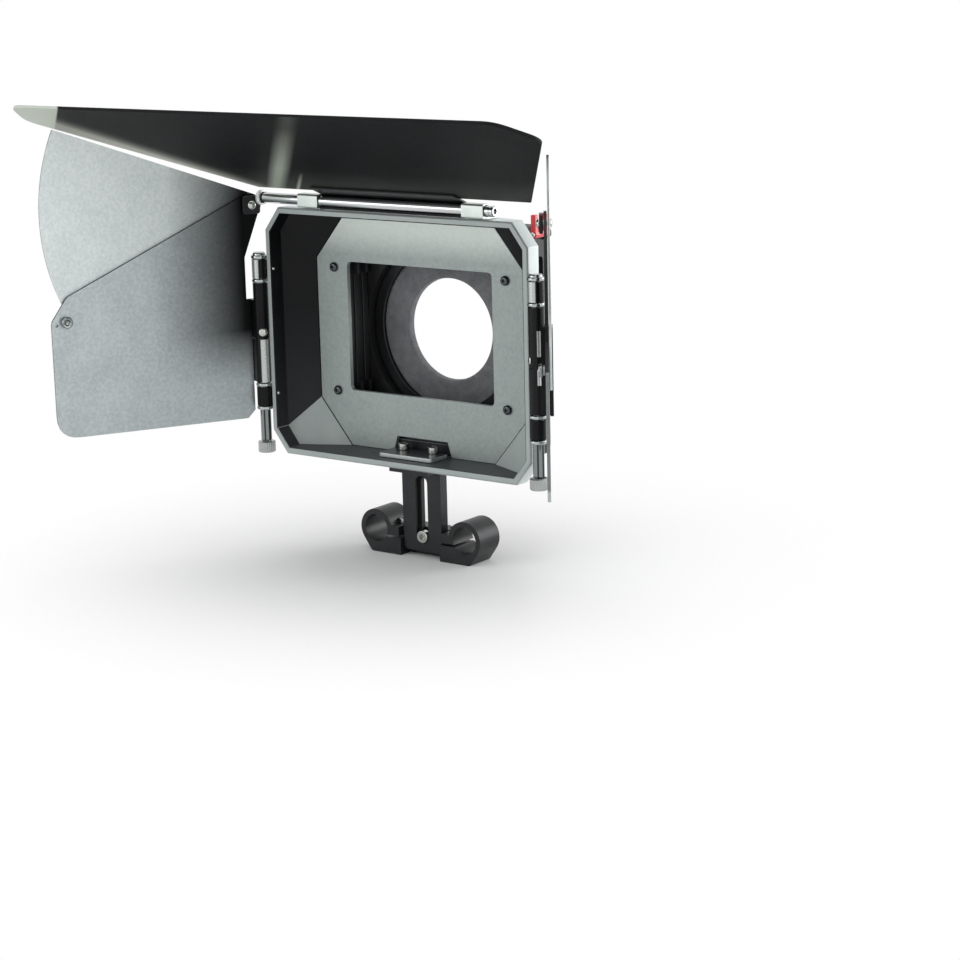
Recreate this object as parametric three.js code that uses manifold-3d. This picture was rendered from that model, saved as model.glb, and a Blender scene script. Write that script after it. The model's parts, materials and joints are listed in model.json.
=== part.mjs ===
// Matte box for a film camera on two 15 mm rods, in millimetres, +Z up.
// The mouth of the hood faces -Y and the lens comes in from +Y.
// The origin lies midway between the two rod axes, in the middle of the rod clamp.
// Inside the group named box, y is counted back from the front of the rim and
// z up from the optical axis.

import * as THREE from 'three';
import { mergeVertices } from 'three/addons/utils/BufferGeometryUtils.js';
import Module from 'manifold-3d';

const wasm = await Module();
wasm.setup();

// Driving dimensions

const GAP = 0.3;             // clearance between neighbouring pieces
const OVERRUN = 1;           // how far a cutter passes the face that it opens
const WELD = 1e-4;           // points closer than this are one point
const EDGE_BEVEL = 0.8;      // small bevel on machined and moulded edges
const ROD_SPACING = 60;      // between the axes of the support rods
const ROD_BORE = 7.65;       // radius of the clamp's bores for 15 mm rods
const LENS_HEIGHT = 108;     // optical axis above the rods

// Hood: an eight-sided collar at the front that tapers back to the mask plate
const HOOD_HALF_WIDTH = 83.5;
const HOOD_HALF_HEIGHT = 64.5;
const HOOD_CORNER_WIDTH = 7.7;
const HOOD_CORNER_HEIGHT = 10.2;
const HOOD_WALL = 3.7;
const COLLAR_DEPTH = 9;
const TAPER_END = 22;
const THROAT_HALF_WIDTH = 69.6;
const THROAT_CORNER_WIDTH = 21;
const THROAT_CORNER_HEIGHT = 25.5;
const THROAT_WALL = 2.6;
const FLANGE_THICKNESS = 1.5;
const FLANGE_WIDTH = 6.5;

// Mask plate, held by four screws in front of the filter stage
const PLATE_THICKNESS = 2.6;
const WINDOW_WIDTH = 97;
const WINDOW_HEIGHT = 71;
const WINDOW_RISE = 2.2;     // the window sits this much above the optical axis
const WINDOW_FILLET = 3;
const NOTCH_WIDTH = 40;
const NOTCH_TAPER = 3;
const NOTCH_HEIGHT = 8.6;
const MASK_SCREW_X = 57.3;
const MASK_SCREW_Z = 34.2;
const MASK_SCREW_HEAD = 3.5;
const MASK_SCREW_HEAD_HEIGHT = 1.6;
const MASK_SCREW_SHANK = 1.5;
const MASK_SCREW_HEX = 1.2;

// Filter stage and its two trays
const STAGE_HALF_WIDTH = 67.8;
const STAGE_BOTTOM = 62;
const STAGE_TOP = 61;
const STAGE_FILLET = 7;
const STAGE_FRONT_WALL = 2.4;
const STAGE_DIVIDER = 2.2;
const STAGE_REAR_WALL = 4.5;
const APERTURE_HALF = 50.4;
const APERTURE_FILLET = 4;
const TRAY_THICKNESS = 4.4;
const TRAY_HALF_WIDTH = 57.2;
const TRAY_BOTTOM = 55.5;
const TRAY_APERTURE_HALF = 49.6;
const TRAY_HANDLE_WIDTH = 72;
const TRAY_HANDLE_RISE = 8;
const TRAY_HANDLE_FILLET = 5;
const TRAY_EAR_REACH = 7.4;
const TRAY_EAR_HEIGHT = 3.5;
const TRAY_CLIP_HEIGHT = 6;
const TRAY_CLIP_REACH = 3;
const TRAY_CLIP_Z = 33;
const POCKET_DEPTH = 6;
const POCKET_RIB = 5;
const POCKET_MARGIN = 7;
const POCKET_COUNT = 4;

// Rear collar with the foam donut that closes round the lens
const COLLAR_OUTER = 57;
const COLLAR_BORE = 49.9;
const COLLAR_FOOT = 60.5;
const COLLAR_FOOT_THICKNESS = 2.5;
const COLLAR_LENGTH = 11;
const COLLAR_LIP_BORE = 45;
const COLLAR_LIP_THICKNESS = 1.6;
const RING_INNER = 43.6;
const RING_THICKNESS = 2;
const FOAM_BORE = 28;
const FOAM_ROUNDING = 1.6;

// Lever beside the trays: turned inwards, its legs lie over the ears of the trays
const LATCH_LENGTH = 11;
const LATCH_THICKNESS = 3;
const LATCH_LEG = 2.6;
const LATCH_RISE = 10.4;      // above its pin
const LATCH_CROTCH = 1.6;    // from the pin up to the gap between its legs
const LATCH_EYE = 2;
const LATCH_DROP = 3.2;      // of its pin below the top of the stage
const LATCH_PIN_RADIUS = 0.9;
const LATCH_PIN_HEAD = 1.4;
const LATCH_LUG = 2.4;

// Foot inside the hood, post below it and the bolt that sets the height
const FOOT_HALF_WIDTH = 18;
const FOOT_FRONT = 6;
const FOOT_THICKNESS = 2.2;
const FOOT_SCREW_X = 10;
const FOOT_SCREW_Y = 18.6;
const FOOT_SCREW_HEAD = 3;
const FOOT_SCREW_HEAD_HEIGHT = 3.4;
const FOOT_SCREW_SHANK = 2;
const FOOT_SCREW_HEX = 1.5;
const POST_HALF_WIDTH = 13;
const POST_FRONT = 20;
const POST_THICKNESS = 6;
const POST_FLANGE_FRONT = 9;
const POST_FLANGE_THICKNESS = 4;
const POST_TAIL = 8;         // below the lower end of the slot
const POST_FILLET = 2.5;
const SLOT_HALF_WIDTH = 2.3;
const SLOT_TRAVEL = 30;
const SLOT_RECESS_HALF_WIDTH = 4;
const SLOT_RECESS_DEPTH = 3;
const HEIGHT_BOLT_SHANK = 2;
const HEIGHT_BOLT_HEAD = 3.5;
const HEIGHT_BOLT_HEAD_HEIGHT = 3.6;
const HEIGHT_BOLT_HEX = 1.7;
const HEIGHT_BOLT_DROP = 2;  // bolt below the plane of the rod axes

// Rod clamp
const CLAMP_DEPTH = 18;
const CLAMP_PROUD = 2.5;      // in front of the post
const CLAMP_RING = 10.6;
const CLAMP_BOTTOM = 13.5;
const CLAMP_TOP = 2.2;
const CLAMP_CORNER = 5;
const CLAMP_FLANK_REACH_SHARE = 0.8;
const CLAMP_FLANK_DROP_SHARE = 0.6;
const CLAMP_SLIT = 1.2;
const CLAMP_SLIT_DROP = 3;
const CLAMP_SCREW_X = 17.7;
const CLAMP_SCREW_HEAD = 2.7;
const CLAMP_SCREW_HEAD_HEIGHT = 2.8;
const CLAMP_SCREW_SHANK = 1.6;
const CLAMP_SCREW_REACH = 10;
const CLAMP_SCREW_HEX = 1.2;

// Top rod, its brackets and the top flag
const TOP_ROD_Y = 1.7;
const TOP_ROD_RISE = 4.6;     // above the hood
const TOP_ROD_RADIUS = 2.9;
const TOP_ROD_TAIL = 26.8;    // past the left bracket
const TOP_ROD_TIP = 5.2;      // past the right bracket
const TOP_ROD_HEX = 1.7;
const TOP_BRACKET_INSET = 29; // from the side of the hood
const TOP_BRACKET_WIDTH = 13.6;
const TOP_BRACKET_HALF = 3.7; // from the axis of the rod to each face
const TOP_BRACKET_ROUND = 1.6;
const TOP_FOOT_THICKNESS = 2.6;
const TOP_FOOT_BACK = 14;
const TOP_KNOB_RADIUS = 4.2;
const TOP_KNOB_LENGTH = 2.6;
const TOP_LEAF_REACH = 12;
const TOP_LEAF_WRAP_ANGLE = 95; // degrees below the back of the rod
const TOP_FLAG_TILT_ANGLE = 22.8;
const TOP_FLAG_OFFSET = 4.6;  // above the axis of the rod
const TOP_FLAG_AHEAD = 3.6;   // from the axis to its rear edge
const TOP_FLAG_LENGTH = 132.6;
const TOP_FLAG_HINGE_HALF = 90;
const TOP_FLAG_FRONT_HALF = 181;
const TOP_FLAG_CORNER = 28;
const TOP_FLAG_CORNER_ROUND = 12;
const FLAG_THICKNESS = 1.6;

// Side hinges, side flags and the fans that close the gap up to the top flag
const SIDE_STANDOFF = 4.7;    // of the hinge axes from the hood
const SIDE_ROD_RADIUS = 3;
const SIDE_ROD_TAIL = 17.7;   // below the lowest collar
const SIDE_CAP_RADIUS = 3.6;
const SIDE_CAP_HEIGHT = 1.6;
const SIDE_COLLAR_RADIUS = 4.5;
const SIDE_COLLAR_HEIGHT = 2;
const SIDE_BARREL = 4.3;
const SIDE_BRACKET_HEIGHT = 10.4;
const SIDE_BRACKET_Z = 34;
const SIDE_BRACKET_LOWER_Z = -36.8;
const SIDE_PAD_THICKNESS = 2.4;
const SIDE_KNOB_RADIUS = 4.8;
const SIDE_KNOB_HEIGHT = 6.2;
const LEAF_BARREL = 4.2;
const LEAF_SPLIT_Z = -4.6;
const LEAF_THICKNESS = 1.8;
const LEAF_REACH = 8.2;
const LEAF_SCREW_RADIUS = 2.4;
const LEAF_SCREW_HEIGHT = 0.6;
const LEAF_SCREW_RISE = 3.7;  // above the joint between the leaves
const LEAF_SCREW_ANGLE = 76;  // degrees inwards from the run of the flag
const SIDE_FLAG_OFFSET = 4.5;
const SIDE_FLAG_START = 4.2;
const SIDE_FLAG_LENGTH = 117;
const SIDE_FLAG_BOTTOM = -49.5;
const SIDE_FLAG_CORNER = 6;
const SIDE_FLAG_LOWER_CORNER = 12;
const SIDE_FLAG_SLOPE_ANGLE = 24.8; // degrees that its upper edge falls from the pivot
const SIDE_FLAG_UPPER = 113.5;
const SIDE_FLAG_SHOULDER_Z = 13.6;
const SIDE_FLAG_NOTCH = 2.5;  // depth of the notch that clears the upper bracket
const SIDE_FLAG_NOTCH_Z = 16.9;
const SIDE_FLAG_NECK = 3.1;   // from the cap of the hinge rod down to the top of the notch
const LEFT_OPEN_ANGLE = 28;  // degrees that the left flag opens from straight ahead
const RIGHT_OPEN_ANGLE = 34.5;
const PIVOT_REACH = 2.2;
const PIVOT_DROP = 4.2;       // of the fan's pivot below the top rod
const PIVOT_EAR = 6.2;
const PIVOT_HOLE = 1.8;
const PIVOT_BOSS = 5;
const PIVOT_BOSS_THICKNESS = 2;
const PIVOT_SCREW_HEAD = 2.5;
const PIVOT_SCREW_HEAD_HEIGHT = 1.5;
const FAN_RADIUS = 117.3;
const FAN_THICKNESS = 1.2;
const FAN_SPAN_ANGLE = 50.7; // degrees between its two straight edges
const STUD_RADIUS = 3.1;
const STUD_HEIGHT = 3;
const STUD_Z = 13.5;
const STUD_INSET = 8;

// Screw heads
const HEX_SIDES = 6;
const SCREW_BEVEL_SHARE = 0.2;
const SHALLOW_SOCKET_SHARE = 0.6;
const STUD_GROOVE_SHARE = 0.25;

// Numbers of steps in small fillets and of sides on round pieces
const FILLET_STEPS = 3;
const CURVE_STEPS = 6;
const COARSE = 12;
const MEDIUM = 20;
const FINE = 36;
const BROAD = 48;

// Solids from closed geometries, and back

function toSolid(geometry) {
  const bare = new THREE.BufferGeometry();
  bare.setAttribute('position', geometry.getAttribute('position'));
  bare.setIndex(geometry.getIndex());
  const merged = mergeVertices(bare, WELD);
  const index = merged.getIndex().array;
  const corners = [];
  for (let i = 0; i < index.length; i += 3) {
    const [a, b, c] = [index[i], index[i + 1], index[i + 2]];
    if (a !== b && b !== c && c !== a) corners.push(a, b, c);
  }
  return new wasm.Manifold(new wasm.Mesh({
    numProp: 3,
    vertProperties: new Float32Array(merged.getAttribute('position').array),
    triVerts: new Uint32Array(corners),
  }));
}

function toGeometry(solid) {
  const mesh = solid.getMesh();
  const geometry = new THREE.BufferGeometry();
  geometry.setAttribute('position', new THREE.BufferAttribute(new Float32Array(mesh.vertProperties), 3));
  geometry.setIndex(new THREE.BufferAttribute(new Uint32Array(mesh.triVerts), 1));
  geometry.computeVertexNormals();
  return geometry;
}

function join(first, ...others) {
  return others.reduce((sum, other) => sum.add(other), first);
}

function cut(first, ...others) {
  return others.reduce((rest, other) => rest.subtract(other), first);
}

// Outlines

function outline(points) {
  return new THREE.Shape(points.map(([x, y]) => new THREE.Vector2(x, y)));
}

// A closed outline whose corners [x, y, fillet] are rounded where fillet is above zero.
function rounded(corners) {
  const shape = new THREE.Shape();
  const count = corners.length;
  const at = (i) => new THREE.Vector2(...corners[(i + count) % count].slice(0, 2));
  for (let i = 0; i < count; i += 1) {
    const corner = at(i);
    const before = at(i - 1).sub(corner);
    const after = at(i + 1).sub(corner);
    const fillet = corners[i][2] || 0;
    const turn = Math.abs(Math.atan2(before.cross(after), before.dot(after)));
    const setback = Math.min(fillet / Math.tan(turn / 2), before.length() / 2, after.length() / 2);
    const start = before.setLength(setback).add(corner);
    const end = after.setLength(setback).add(corner);
    if (i === 0) shape.moveTo(start.x, start.y);
    else shape.lineTo(start.x, start.y);
    if (fillet > 0) shape.quadraticCurveTo(corner.x, corner.y, end.x, end.y);
  }
  shape.closePath();
  return shape;
}

function rectangle(x0, x1, y0, y1, fillet = 0) {
  return rounded([[x0, y0, fillet], [x1, y0, fillet], [x1, y1, fillet], [x0, y1, fillet]]);
}

function slotOutline(x, y0, y1, halfWidth) {
  const shape = new THREE.Shape();
  shape.absarc(x, y1, halfWidth, 0, Math.PI);
  shape.absarc(x, y0, halfWidth, Math.PI, 2 * Math.PI);
  shape.closePath();
  return shape;
}

function polygon(sides, radius) {
  const points = [];
  for (let i = 0; i < sides; i += 1) {
    const angle = (2 * Math.PI * i) / sides;
    points.push([radius * Math.cos(angle), radius * Math.sin(angle)]);
  }
  return outline(points);
}

// Extrusions and turned solids along each axis

function extrude(shape, length, segments) {
  const options = { depth: length, bevelEnabled: false, curveSegments: segments };
  return new THREE.ExtrudeGeometry(shape, options);
}

function alongX(shape, x0, x1, segments = COARSE) {
  const turn = new THREE.Matrix4().makeBasis(
    new THREE.Vector3(0, 1, 0),
    new THREE.Vector3(0, 0, 1),
    new THREE.Vector3(1, 0, 0),
  );
  return toSolid(extrude(shape, x1 - x0, segments).applyMatrix4(turn).translate(x0, 0, 0));
}

function alongY(shape, y0, y1, segments = COARSE) {
  return toSolid(extrude(shape, y1 - y0, segments).rotateX(Math.PI / 2).translate(0, y1, 0));
}

function alongZ(shape, z0, z1, segments = COARSE) {
  return toSolid(extrude(shape, z1 - z0, segments).translate(0, 0, z0));
}

function block(x0, x1, y0, y1, z0, z1) {
  return alongZ(rectangle(x0, x1, y0, y1), z0, z1);
}

// A profile of [radius, height] pairs is turned about the height axis.
function lathe(profile, sides) {
  const points = profile.map(([r, h]) => new THREE.Vector2(r, h));
  if (THREE.ShapeUtils.area(points) < 0) points.reverse();
  points.push(points[0].clone());
  return new THREE.LatheGeometry(points, sides);
}

function turnedX(profile, y, z, sides = COARSE) {
  return toSolid(lathe(profile, sides).rotateZ(-Math.PI / 2).translate(0, y, z));
}

function turnedY(profile, x, z, sides = COARSE) {
  return toSolid(lathe(profile, sides).translate(x, 0, z));
}

function turnedZ(profile, x, y, sides = COARSE) {
  return toSolid(lathe(profile, sides).rotateX(Math.PI / 2).translate(x, y, 0));
}

// Profile of a plain bar, and of a tube, between two heights
function bar(radius, h0, h1) {
  return [[0, h0], [radius, h0], [radius, h1], [0, h1]];
}

function tube(inner, outer, h0, h1) {
  return [[inner, h0], [outer, h0], [outer, h1], [inner, h1]];
}

// Profile of a cap screw: shank from h0, head from h1 to h2 with a small bevel on the far edge
function capScrew(shank, head, h0, h1, h2) {
  const bevel = (h2 - h1) * SCREW_BEVEL_SHARE;
  const rise = h2 - bevel;
  return [
    [0, h0], [shank, h0], [shank, h1], [head, h1], [head, rise], [head - Math.abs(bevel), h2], [0, h2],
  ];
}

// The range between two distances from the middle plane, on the side -1 or 1
function span(side, near, far) {
  return side > 0 ? [near, far] : [-far, -near];
}

// Eight-sided outlines, and the shells lofted through them along Y

function octagon(halfWidth, halfHeight, cornerWidth, cornerHeight) {
  return { halfWidth, halfHeight, cornerWidth, cornerHeight };
}

function outset(shape, distance) {
  const { cornerWidth, cornerHeight } = shape;
  const slope = Math.hypot(cornerWidth, cornerHeight);
  return octagon(
    shape.halfWidth + distance,
    shape.halfHeight + distance,
    cornerWidth + distance * (1 - (slope - cornerWidth) / cornerHeight),
    cornerHeight + distance * (1 - (slope - cornerHeight) / cornerWidth),
  );
}

function octagonPoints({ halfWidth, halfHeight, cornerWidth, cornerHeight }) {
  const innerX = halfWidth - cornerWidth;
  const innerZ = halfHeight - cornerHeight;
  return [
    [halfWidth, -innerZ], [halfWidth, innerZ], [innerX, halfHeight], [-innerX, halfHeight],
    [-halfWidth, innerZ], [-halfWidth, -innerZ], [-innerX, -halfHeight], [innerX, -halfHeight],
  ];
}

// Stations are [y, octagon] from the front to the back.
function loft(stations) {
  const rings = stations.map(([y, shape]) => octagonPoints(shape).map(([x, z]) => [x, y, z]));
  const sides = rings[0].length;
  const positions = rings.flat(2);
  const index = [];
  for (let ring = 0; ring < rings.length - 1; ring += 1) {
    for (let side = 0; side < sides; side += 1) {
      const next = (side + 1) % sides;
      const [a, b] = [ring * sides + side, ring * sides + next];
      const [c, d] = [a + sides, b + sides];
      index.push(a, c, b, b, c, d);
    }
  }
  const last = (rings.length - 1) * sides;
  for (let side = 1; side < sides - 1; side += 1) {
    index.push(0, side, side + 1);
    index.push(last, last + side + 1, last + side);
  }
  const geometry = new THREE.BufferGeometry();
  geometry.setAttribute('position', new THREE.Float32BufferAttribute(positions, 3));
  geometry.setIndex(index);
  return toSolid(geometry);
}

// Finishes

function finish(color, roughness, metalness) {
  return { color, roughness, metalness };
}

const HOOD_BLACK = finish(0x232528, 0.55, 0.0);
const PLATE_BLACK = finish(0x2c2f31, 0.5, 0.1);
const FLAG_BLACK = finish(0x1f2123, 0.45, 0.2);
const STAGE_BLACK = finish(0x1d1e20, 0.5, 0.3);
const TRAY_BLACK = finish(0x26282a, 0.45, 0.2);
const ANODISED = finish(0x202224, 0.42, 0.6);
const CHROME = finish(0xd4d6d8, 0.12, 1.0);
const SATIN = finish(0xb9bcbe, 0.35, 0.9);
const FOAM = finish(0x6c6e71, 0.95, 0.0);
const RED = finish(0xc8202a, 0.35, 0.0);

const part = new THREE.Group();
const box = new THREE.Group();
part.add(box);

function piece(parent, name, solid, look) {
  const mesh = new THREE.Mesh(toGeometry(solid), new THREE.MeshStandardMaterial(look));
  mesh.name = name;
  parent.add(mesh);
  return mesh;
}

// Places worked out from the driving dimensions

const rim = octagon(HOOD_HALF_WIDTH, HOOD_HALF_HEIGHT, HOOD_CORNER_WIDTH, HOOD_CORNER_HEIGHT);
const throat = octagon(THROAT_HALF_WIDTH, HOOD_HALF_HEIGHT, THROAT_CORNER_WIDTH, THROAT_CORNER_HEIGHT);
const plateBack = TAPER_END + GAP + PLATE_THICKNESS;
const flangeFront = plateBack + GAP;
const hoodBack = flangeFront + FLANGE_THICKNESS;
const hoodTop = HOOD_HALF_HEIGHT + HOOD_WALL;
const stageFront = hoodBack + GAP;
const channelDepth = TRAY_THICKNESS + 2 * GAP;
const frontChannel = stageFront + STAGE_FRONT_WALL;
const rearChannel = frontChannel + channelDepth + STAGE_DIVIDER;
const rearWall = rearChannel + channelDepth;
const stageBack = rearWall + STAGE_REAR_WALL;
const latchX = STAGE_HALF_WIDTH + GAP + LATCH_EYE;
const latchZ = STAGE_TOP - LATCH_DROP;
const slotBottom = -(LENS_HEIGHT + HEIGHT_BOLT_DROP);
const topRodZ = hoodTop + TOP_ROD_RISE;
const topBracketX = HOOD_HALF_WIDTH - TOP_BRACKET_INSET;
const topBracketSide = topBracketX + TOP_BRACKET_WIDTH / 2;
const sideAxisX = HOOD_HALF_WIDTH + HOOD_WALL + SIDE_STANDOFF;
const pivotZ = topRodZ - PIVOT_DROP;

// Hood

function hoodShell() {
  const skin = outset(rim, HOOD_WALL);
  const back = outset(throat, THROAT_WALL);
  const outer = loft([
    [0, outset(rim, HOOD_WALL - EDGE_BEVEL)],
    [EDGE_BEVEL, skin],
    [COLLAR_DEPTH + EDGE_BEVEL, skin],
    [TAPER_END, back],
    [hoodBack, back],
  ]);
  const inner = loft([
    [-OVERRUN, outset(rim, OVERRUN)],
    [0, outset(rim, EDGE_BEVEL / 2)],
    [EDGE_BEVEL / 2, rim],
    [COLLAR_DEPTH, rim],
    [TAPER_END, throat],
    [flangeFront, throat],
  ]);
  const opening = outset(throat, -FLANGE_WIDTH);
  const through = loft([[TAPER_END, opening], [hoodBack + OVERRUN, opening]]);
  const screwHoles = [-FOOT_SCREW_X, FOOT_SCREW_X].map((x) => turnedZ(
    bar(FOOT_SCREW_SHANK + GAP, -(hoodTop + OVERRUN), -(HOOD_HALF_HEIGHT - OVERRUN)),
    x,
    FOOT_SCREW_Y,
  ));
  return cut(outer, inner, through, ...screwHoles);
}

piece(box, 'hood_shell', hoodShell(), HOOD_BLACK);

// Mask plate with its window and the notch that clears the foot

function maskPlate() {
  const edge = outset(throat, -GAP);
  const body = loft([[TAPER_END + GAP, edge], [plateBack, edge]]);
  const halfWidth = WINDOW_WIDTH / 2;
  const halfHeight = WINDOW_HEIGHT / 2;
  const window = alongY(
    rectangle(-halfWidth, halfWidth, WINDOW_RISE - halfHeight, WINDOW_RISE + halfHeight, WINDOW_FILLET),
    TAPER_END,
    plateBack + OVERRUN,
    CURVE_STEPS,
  );
  const notchBottom = -(HOOD_HALF_HEIGHT + OVERRUN);
  const notchTop = NOTCH_HEIGHT - HOOD_HALF_HEIGHT;
  const notchHalf = NOTCH_WIDTH / 2;
  const notch = alongY(
    outline([
      [-notchHalf, notchBottom], [notchHalf, notchBottom],
      [notchHalf - NOTCH_TAPER, notchTop], [NOTCH_TAPER - notchHalf, notchTop],
    ]),
    TAPER_END,
    plateBack + OVERRUN,
  );
  return cut(body, window, notch, ...maskScrewPlaces().map(([x, z]) => turnedY(
    bar(MASK_SCREW_SHANK + GAP, TAPER_END, plateBack + OVERRUN),
    x,
    z,
  )));
}

function maskScrewPlaces() {
  return [
    [-MASK_SCREW_X, MASK_SCREW_Z], [MASK_SCREW_X, MASK_SCREW_Z],
    [MASK_SCREW_X, -MASK_SCREW_Z], [-MASK_SCREW_X, -MASK_SCREW_Z],
  ];
}

// A hexagonal socket that stands on the plane z = 0
function hexSocket(radius, depth) {
  return extrude(polygon(HEX_SIDES, radius), depth + OVERRUN);
}

function maskScrew(x, z) {
  const seat = TAPER_END;
  const head = seat - MASK_SCREW_HEAD_HEIGHT;
  const tip = stageFront + STAGE_FRONT_WALL - GAP;
  const socketDepth = MASK_SCREW_HEAD_HEIGHT * SHALLOW_SOCKET_SHARE;
  const socket = hexSocket(MASK_SCREW_HEX, socketDepth)
    .rotateX(Math.PI / 2)
    .translate(x, head + socketDepth, z);
  return cut(turnedY(capScrew(MASK_SCREW_SHANK, MASK_SCREW_HEAD, tip, seat, head), x, z), toSolid(socket));
}

piece(box, 'mask_plate', maskPlate(), PLATE_BLACK);
maskScrewPlaces().forEach(([x, z], i) => {
  piece(box, `mask_screw_${i + 1}`, maskScrew(x, z), CHROME);
});

// Filter stage: a block with two tray channels open at the top, a square light path
// at the front and a round port at the back

const middle = (frontChannel + rearWall) / 2;
const latchFront = middle - LATCH_LENGTH / 2;
const latchBack = middle + LATCH_LENGTH / 2;
const earHalf = TRAY_HALF_WIDTH + TRAY_EAR_REACH;
const earBottom = STAGE_TOP - TRAY_EAR_HEIGHT;

function aperture(half, fillet, y0, y1) {
  return alongY(rectangle(-half, half, -half, half, fillet), y0, y1, FILLET_STEPS);
}

function stagePockets(side) {
  const low = POCKET_MARGIN - STAGE_BOTTOM;
  const high = earBottom - POCKET_MARGIN;
  const pitch = (high - low) / POCKET_COUNT;
  const pockets = [];
  for (let i = 0; i < POCKET_COUNT; i += 1) {
    const foot = low + i * pitch;
    const [x0, x1] = span(side, STAGE_HALF_WIDTH - POCKET_DEPTH, STAGE_HALF_WIDTH + OVERRUN);
    pockets.push(alongX(
      rectangle(frontChannel, rearWall, foot, foot + pitch - POCKET_RIB, STAGE_FRONT_WALL),
      x0,
      x1,
      FILLET_STEPS,
    ));
  }
  return pockets;
}

function latchLug() {
  const y0 = latchBack + GAP;
  const root = STAGE_HALF_WIDTH - STAGE_FILLET;
  const tip = latchX + LATCH_EYE;
  return alongY(
    rounded([
      [root, latchZ - STAGE_FILLET],
      [tip, latchZ - LATCH_EYE, LATCH_EYE],
      [tip, latchZ + LATCH_EYE, LATCH_EYE],
      [root, STAGE_TOP],
    ]),
    y0,
    y0 + LATCH_LUG,
    FILLET_STEPS,
  );
}

function filterStage() {
  const body = alongY(
    rectangle(-STAGE_HALF_WIDTH, STAGE_HALF_WIDTH, -STAGE_BOTTOM, STAGE_TOP, STAGE_FILLET),
    stageFront,
    stageBack,
    CURVE_STEPS,
  );
  const channels = [frontChannel, rearChannel].flatMap((y) => [
    [TRAY_HALF_WIDTH + GAP, -(TRAY_BOTTOM + GAP)],
    [earHalf + GAP, earBottom - GAP],
  ].map(([half, z]) => block(-half, half, y, y + channelDepth, z, STAGE_TOP + OVERRUN)));
  const port = turnedY(bar(COLLAR_BORE, rearWall - OVERRUN, stageBack + OVERRUN), 0, 0, BROAD);
  const screwHoles = maskScrewPlaces().map(([x, z]) => turnedY(
    bar(MASK_SCREW_SHANK + GAP, stageFront - OVERRUN, frontChannel + OVERRUN),
    x,
    z,
  ));
  const pinHole = bar(LATCH_PIN_RADIUS + GAP, stageFront, stageBack);
  return cut(
    join(body, latchLug()),
    aperture(APERTURE_HALF, APERTURE_FILLET, stageFront - OVERRUN, rearWall),
    port,
    ...channels,
    ...stagePockets(-1),
    ...stagePockets(1),
    ...screwHoles,
    turnedY(pinHole, latchX, latchZ),
  );
}

piece(box, 'filter_stage', filterStage(), STAGE_BLACK);

// Filter trays: square frames with a pull tab and four clips that hold the filter

function filterTray(channelFront) {
  const front = channelFront + GAP;
  const back = front + TRAY_THICKNESS;
  const tab = TRAY_HANDLE_WIDTH / 2;
  const top = STAGE_TOP + TRAY_HANDLE_RISE;
  const body = alongY(
    rounded([
      [-TRAY_HALF_WIDTH, -TRAY_BOTTOM, TRAY_CLIP_REACH],
      [TRAY_HALF_WIDTH, -TRAY_BOTTOM, TRAY_CLIP_REACH],
      [TRAY_HALF_WIDTH, earBottom],
      [earHalf, earBottom],
      [earHalf, STAGE_TOP],
      [tab, STAGE_TOP, TRAY_CLIP_REACH],
      [tab, top, TRAY_HANDLE_FILLET],
      [-tab, top, TRAY_HANDLE_FILLET],
      [-tab, STAGE_TOP, TRAY_CLIP_REACH],
      [-earHalf, STAGE_TOP],
      [-earHalf, earBottom],
      [-TRAY_HALF_WIDTH, earBottom],
    ]),
    front,
    back,
    FILLET_STEPS,
  );
  const window = aperture(TRAY_APERTURE_HALF, APERTURE_FILLET, front - OVERRUN, back + OVERRUN);
  const clips = [];
  for (const side of [-1, 1]) {
    for (const z of [-TRAY_CLIP_Z, TRAY_CLIP_Z]) {
      const [x0, x1] = span(side, TRAY_APERTURE_HALF - TRAY_CLIP_REACH, TRAY_APERTURE_HALF + OVERRUN);
      const half = TRAY_CLIP_HEIGHT / 2;
      clips.push(block(x0, x1, front, back - TRAY_THICKNESS / 2, z - half, z + half));
    }
  }
  return join(cut(body, window), ...clips);
}

piece(box, 'filter_tray_front', filterTray(frontChannel), TRAY_BLACK);
piece(box, 'filter_tray_rear', filterTray(rearChannel), TRAY_BLACK);

// Latch: a forked lever on a pin beside the trays, one leg for each tray

function trayLatch() {
  const inner = latchX - LATCH_THICKNESS / 2;
  const outer = latchX + LATCH_THICKNESS / 2;
  const top = latchZ + LATCH_RISE;
  const profile = alongY(
    rounded([[inner, latchZ], [outer, latchZ], [outer, top, EDGE_BEVEL], [inner, top, EDGE_BEVEL]]),
    latchFront,
    latchBack,
    FILLET_STEPS,
  );
  const eye = turnedY(bar(LATCH_EYE, latchFront, latchBack), latchX, latchZ);
  const bore = bar(LATCH_PIN_RADIUS + GAP, latchFront - OVERRUN, latchBack + OVERRUN);
  const fork = block(
    inner - OVERRUN,
    outer + OVERRUN,
    latchFront + LATCH_LEG,
    latchBack - LATCH_LEG,
    latchZ + LATCH_CROTCH,
    top + OVERRUN,
  );
  return cut(join(profile, eye), turnedY(bore, latchX, latchZ), fork);
}

function latchPin() {
  const head = latchFront - GAP;
  const tail = latchBack + GAP + LATCH_LUG;
  return turnedY([
    [0, head - LATCH_PIN_RADIUS],
    [LATCH_PIN_HEAD, head - LATCH_PIN_RADIUS],
    [LATCH_PIN_HEAD, head],
    [LATCH_PIN_RADIUS, head],
    [LATCH_PIN_RADIUS, tail],
    [0, tail],
  ], latchX, latchZ);
}

piece(box, 'tray_latch', trayLatch(), RED);
piece(box, 'tray_latch_pin', latchPin(), CHROME);

// Rear collar, the ring that keeps the donut in, and the foam donut

const collarFront = stageBack + GAP;
const collarBack = collarFront + COLLAR_LENGTH;
const ringFront = collarFront + 2 * GAP;
const foamFront = ringFront + RING_THICKNESS + GAP;
const foamBack = collarBack - COLLAR_LIP_THICKNESS - GAP;

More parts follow.
